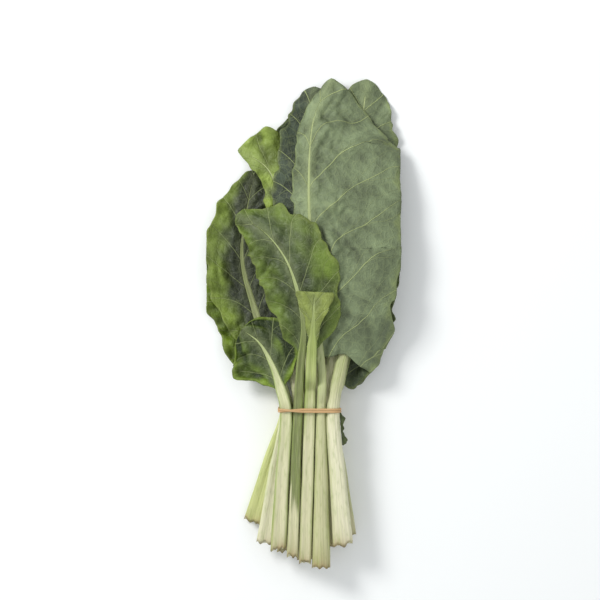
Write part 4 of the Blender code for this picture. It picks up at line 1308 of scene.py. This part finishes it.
def loop_round(stalks):
    """(points, outward directions) of a taut loop round the stalks, in (x, z)."""
    places = (BAND_Y - BAND_PITCH, BAND_Y, BAND_Y + BAND_PITCH)
    sections = [p for rings in stalks for y in places for p in section_at(rings, y)]
    hull = convex_outline(sections)
    closed = np.concatenate([hull, hull[:1]])
    along = arc_length(closed)
    at = np.linspace(0.0, along[-1], LOOP_POINTS, endpoint=False)
    loop = read_rows(at, along, closed)
    ahead = np.roll(loop, -1, axis=0) - np.roll(loop, 1, axis=0)
    out = np.stack([ahead[:, 1], -ahead[:, 0]], axis=1)
    out = unit(sum(np.roll(out, k, axis=0) for k in range(-LOOP_SMOOTH, LOOP_SMOOTH + 1)))
    return loop + out * (BAND_RADIUS + BAND_GAP), out


def band_line(loop, out):
    """Middle of the strand and its outward directions: twice round, crossing once on top."""
    count = len(loop)
    away = np.abs(loop[:, 0] - BAND_CROSS_X)
    start = int(np.argmin(np.where(loop[:, 1] > loop[:, 1].mean(), away, np.inf)))
    turns = np.linspace(0.0, 2.0, BAND_POINTS, endpoint=False)
    spot = (start + turns * count) % count
    closed = (np.concatenate([rows, rows[:1]]) for rows in (loop, out))
    flat, outward = (read_rows(spot, np.arange(count + 1), rows) for rows in closed)
    past = (turns + 0.5) % 1.0 - 0.5
    first = (turns + 0.5) % 2.0 < 1.0
    swing = np.sin(np.clip(past / BAND_CROSSING, -1.0, 1.0) * np.pi / 2)
    y = BAND_Y + np.where(first, 0.5, -0.5) * BAND_PITCH * swing
    over = np.where(first, 1.0 - smoothstep(np.abs(past) / BAND_CROSSING), 0.0)
    flat = flat + outward * (BAND_PITCH * over)[:, None]
    centre = np.stack([flat[:, 0], y, flat[:, 1]], axis=1)
    return centre, np.stack([outward[:, 0], 0.0 * y, outward[:, 1]], axis=1)


def make_band(stalks):
    """The rubber band: a flat strand round the stalks."""
    centre, outward = band_line(*loop_round(stalks))
    ahead = np.roll(centre, -1, axis=0) - np.roll(centre, 1, axis=0)
    beside = unit(np.cross(unit(ahead), outward))
    turn = np.linspace(0.0, 2 * np.pi, BAND_SIDES, endpoint=False)
    rings = centre[:, None]
    for wave, share, way in zip((np.cos(turn), np.sin(turn)), BAND_SHARES, (beside, outward)):
        reach = np.sign(wave) * np.abs(wave) ** BAND_SQUARENESS * BAND_RADIUS * share
        rings = rings + way[:, None] * reach[:, None]
    index = np.arange(rings[..., 0].size).reshape(rings.shape[:2])
    faces = ring_faces(index, np.roll(index, -1, axis=0))
    mesh = tidy_mesh("fine_band", rings, faces, {})
    mesh.materials.append(band_material())
    add_piece(mesh, "band")


def make_floor():
    """A pale sheet of paper under the bunch."""
    bpy.ops.mesh.primitive_plane_add(size=FLOOR_SIZE, location=(0.0, 0.0, FLOOR_Z))
    floor = bpy.context.object
    floor.name = "floor"
    look = Look("floor_paper")
    dust = look.noise(look.node("TexCoord").outputs["Object"], 6.0, 2.0)
    colour = look.over(PAPER, PAPER_DARK, dust, 0.05)
    floor.data.materials.append(look.finish(colour, 0.7, specular=0.2))


def make_light(name, place, size, watts):
    """A square soft light that looks at the middle of the bunch."""
    data = bpy.data.lights.new(name, "AREA")
    data.size = size
    data.energy = watts
    light = bpy.data.objects.new(name, data)
    light.location = place
    light.rotation_euler = (-light.location).to_track_quat("-Z", "Y").to_euler()
    bpy.context.scene.collection.objects.link(light)


def make_studio():
    """An even sky and two lights."""
    world = bpy.data.worlds.new("studio")
    world.use_nodes = True
    sky = world.node_tree.nodes["Background"]
    sky.inputs["Color"].default_value = SKY
    sky.inputs["Strength"].default_value = SKY_STRENGTH
    bpy.context.scene.world = world
    make_light("key", *KEY_LIGHT)
    make_light("fill", *FILL_LIGHT)
    bpy.context.scene.view_settings.view_transform = "Standard"


def make_camera():
    """A camera that looks straight down, as in the photo."""
    data = bpy.data.cameras.new("camera")
    data.sensor_width = SENSOR
    data.lens = SENSOR * (CAMERA_HEIGHT - VIEW_HEIGHT) / VIEW_WIDTH
    camera = bpy.data.objects.new("camera", data)
    camera.location = np.array([*VIEW_CENTRE, CAMERA_HEIGHT]) * METRE
    bpy.context.scene.collection.objects.link(camera)
    bpy.context.scene.camera = camera


def main():
    """Makes the whole scene, with the leaves in the order in which they lie."""
    for startup in ("Cube", "Light", "Camera"):
        if startup in bpy.data.objects:
            bpy.data.objects.remove(bpy.data.objects[startup])
    pile = Pile()
    stalks = []
    for number, own in enumerate(LEAVES):
        leaf = USUAL | own
        seed = SEED_STEP * (number + 1)
        spine = Spine(leaf, pile)
        rings = make_stalk(leaf, spine, seed)
        make_blade(leaf, spine, pile, seed)
        pile.lay(np.concatenate([rings, rings[:, :1]], axis=1), 0.0)
        stalks.append(rings)
    make_scrap()
    make_band(stalks)
    make_floor()
    make_studio()
    make_camera()


main()
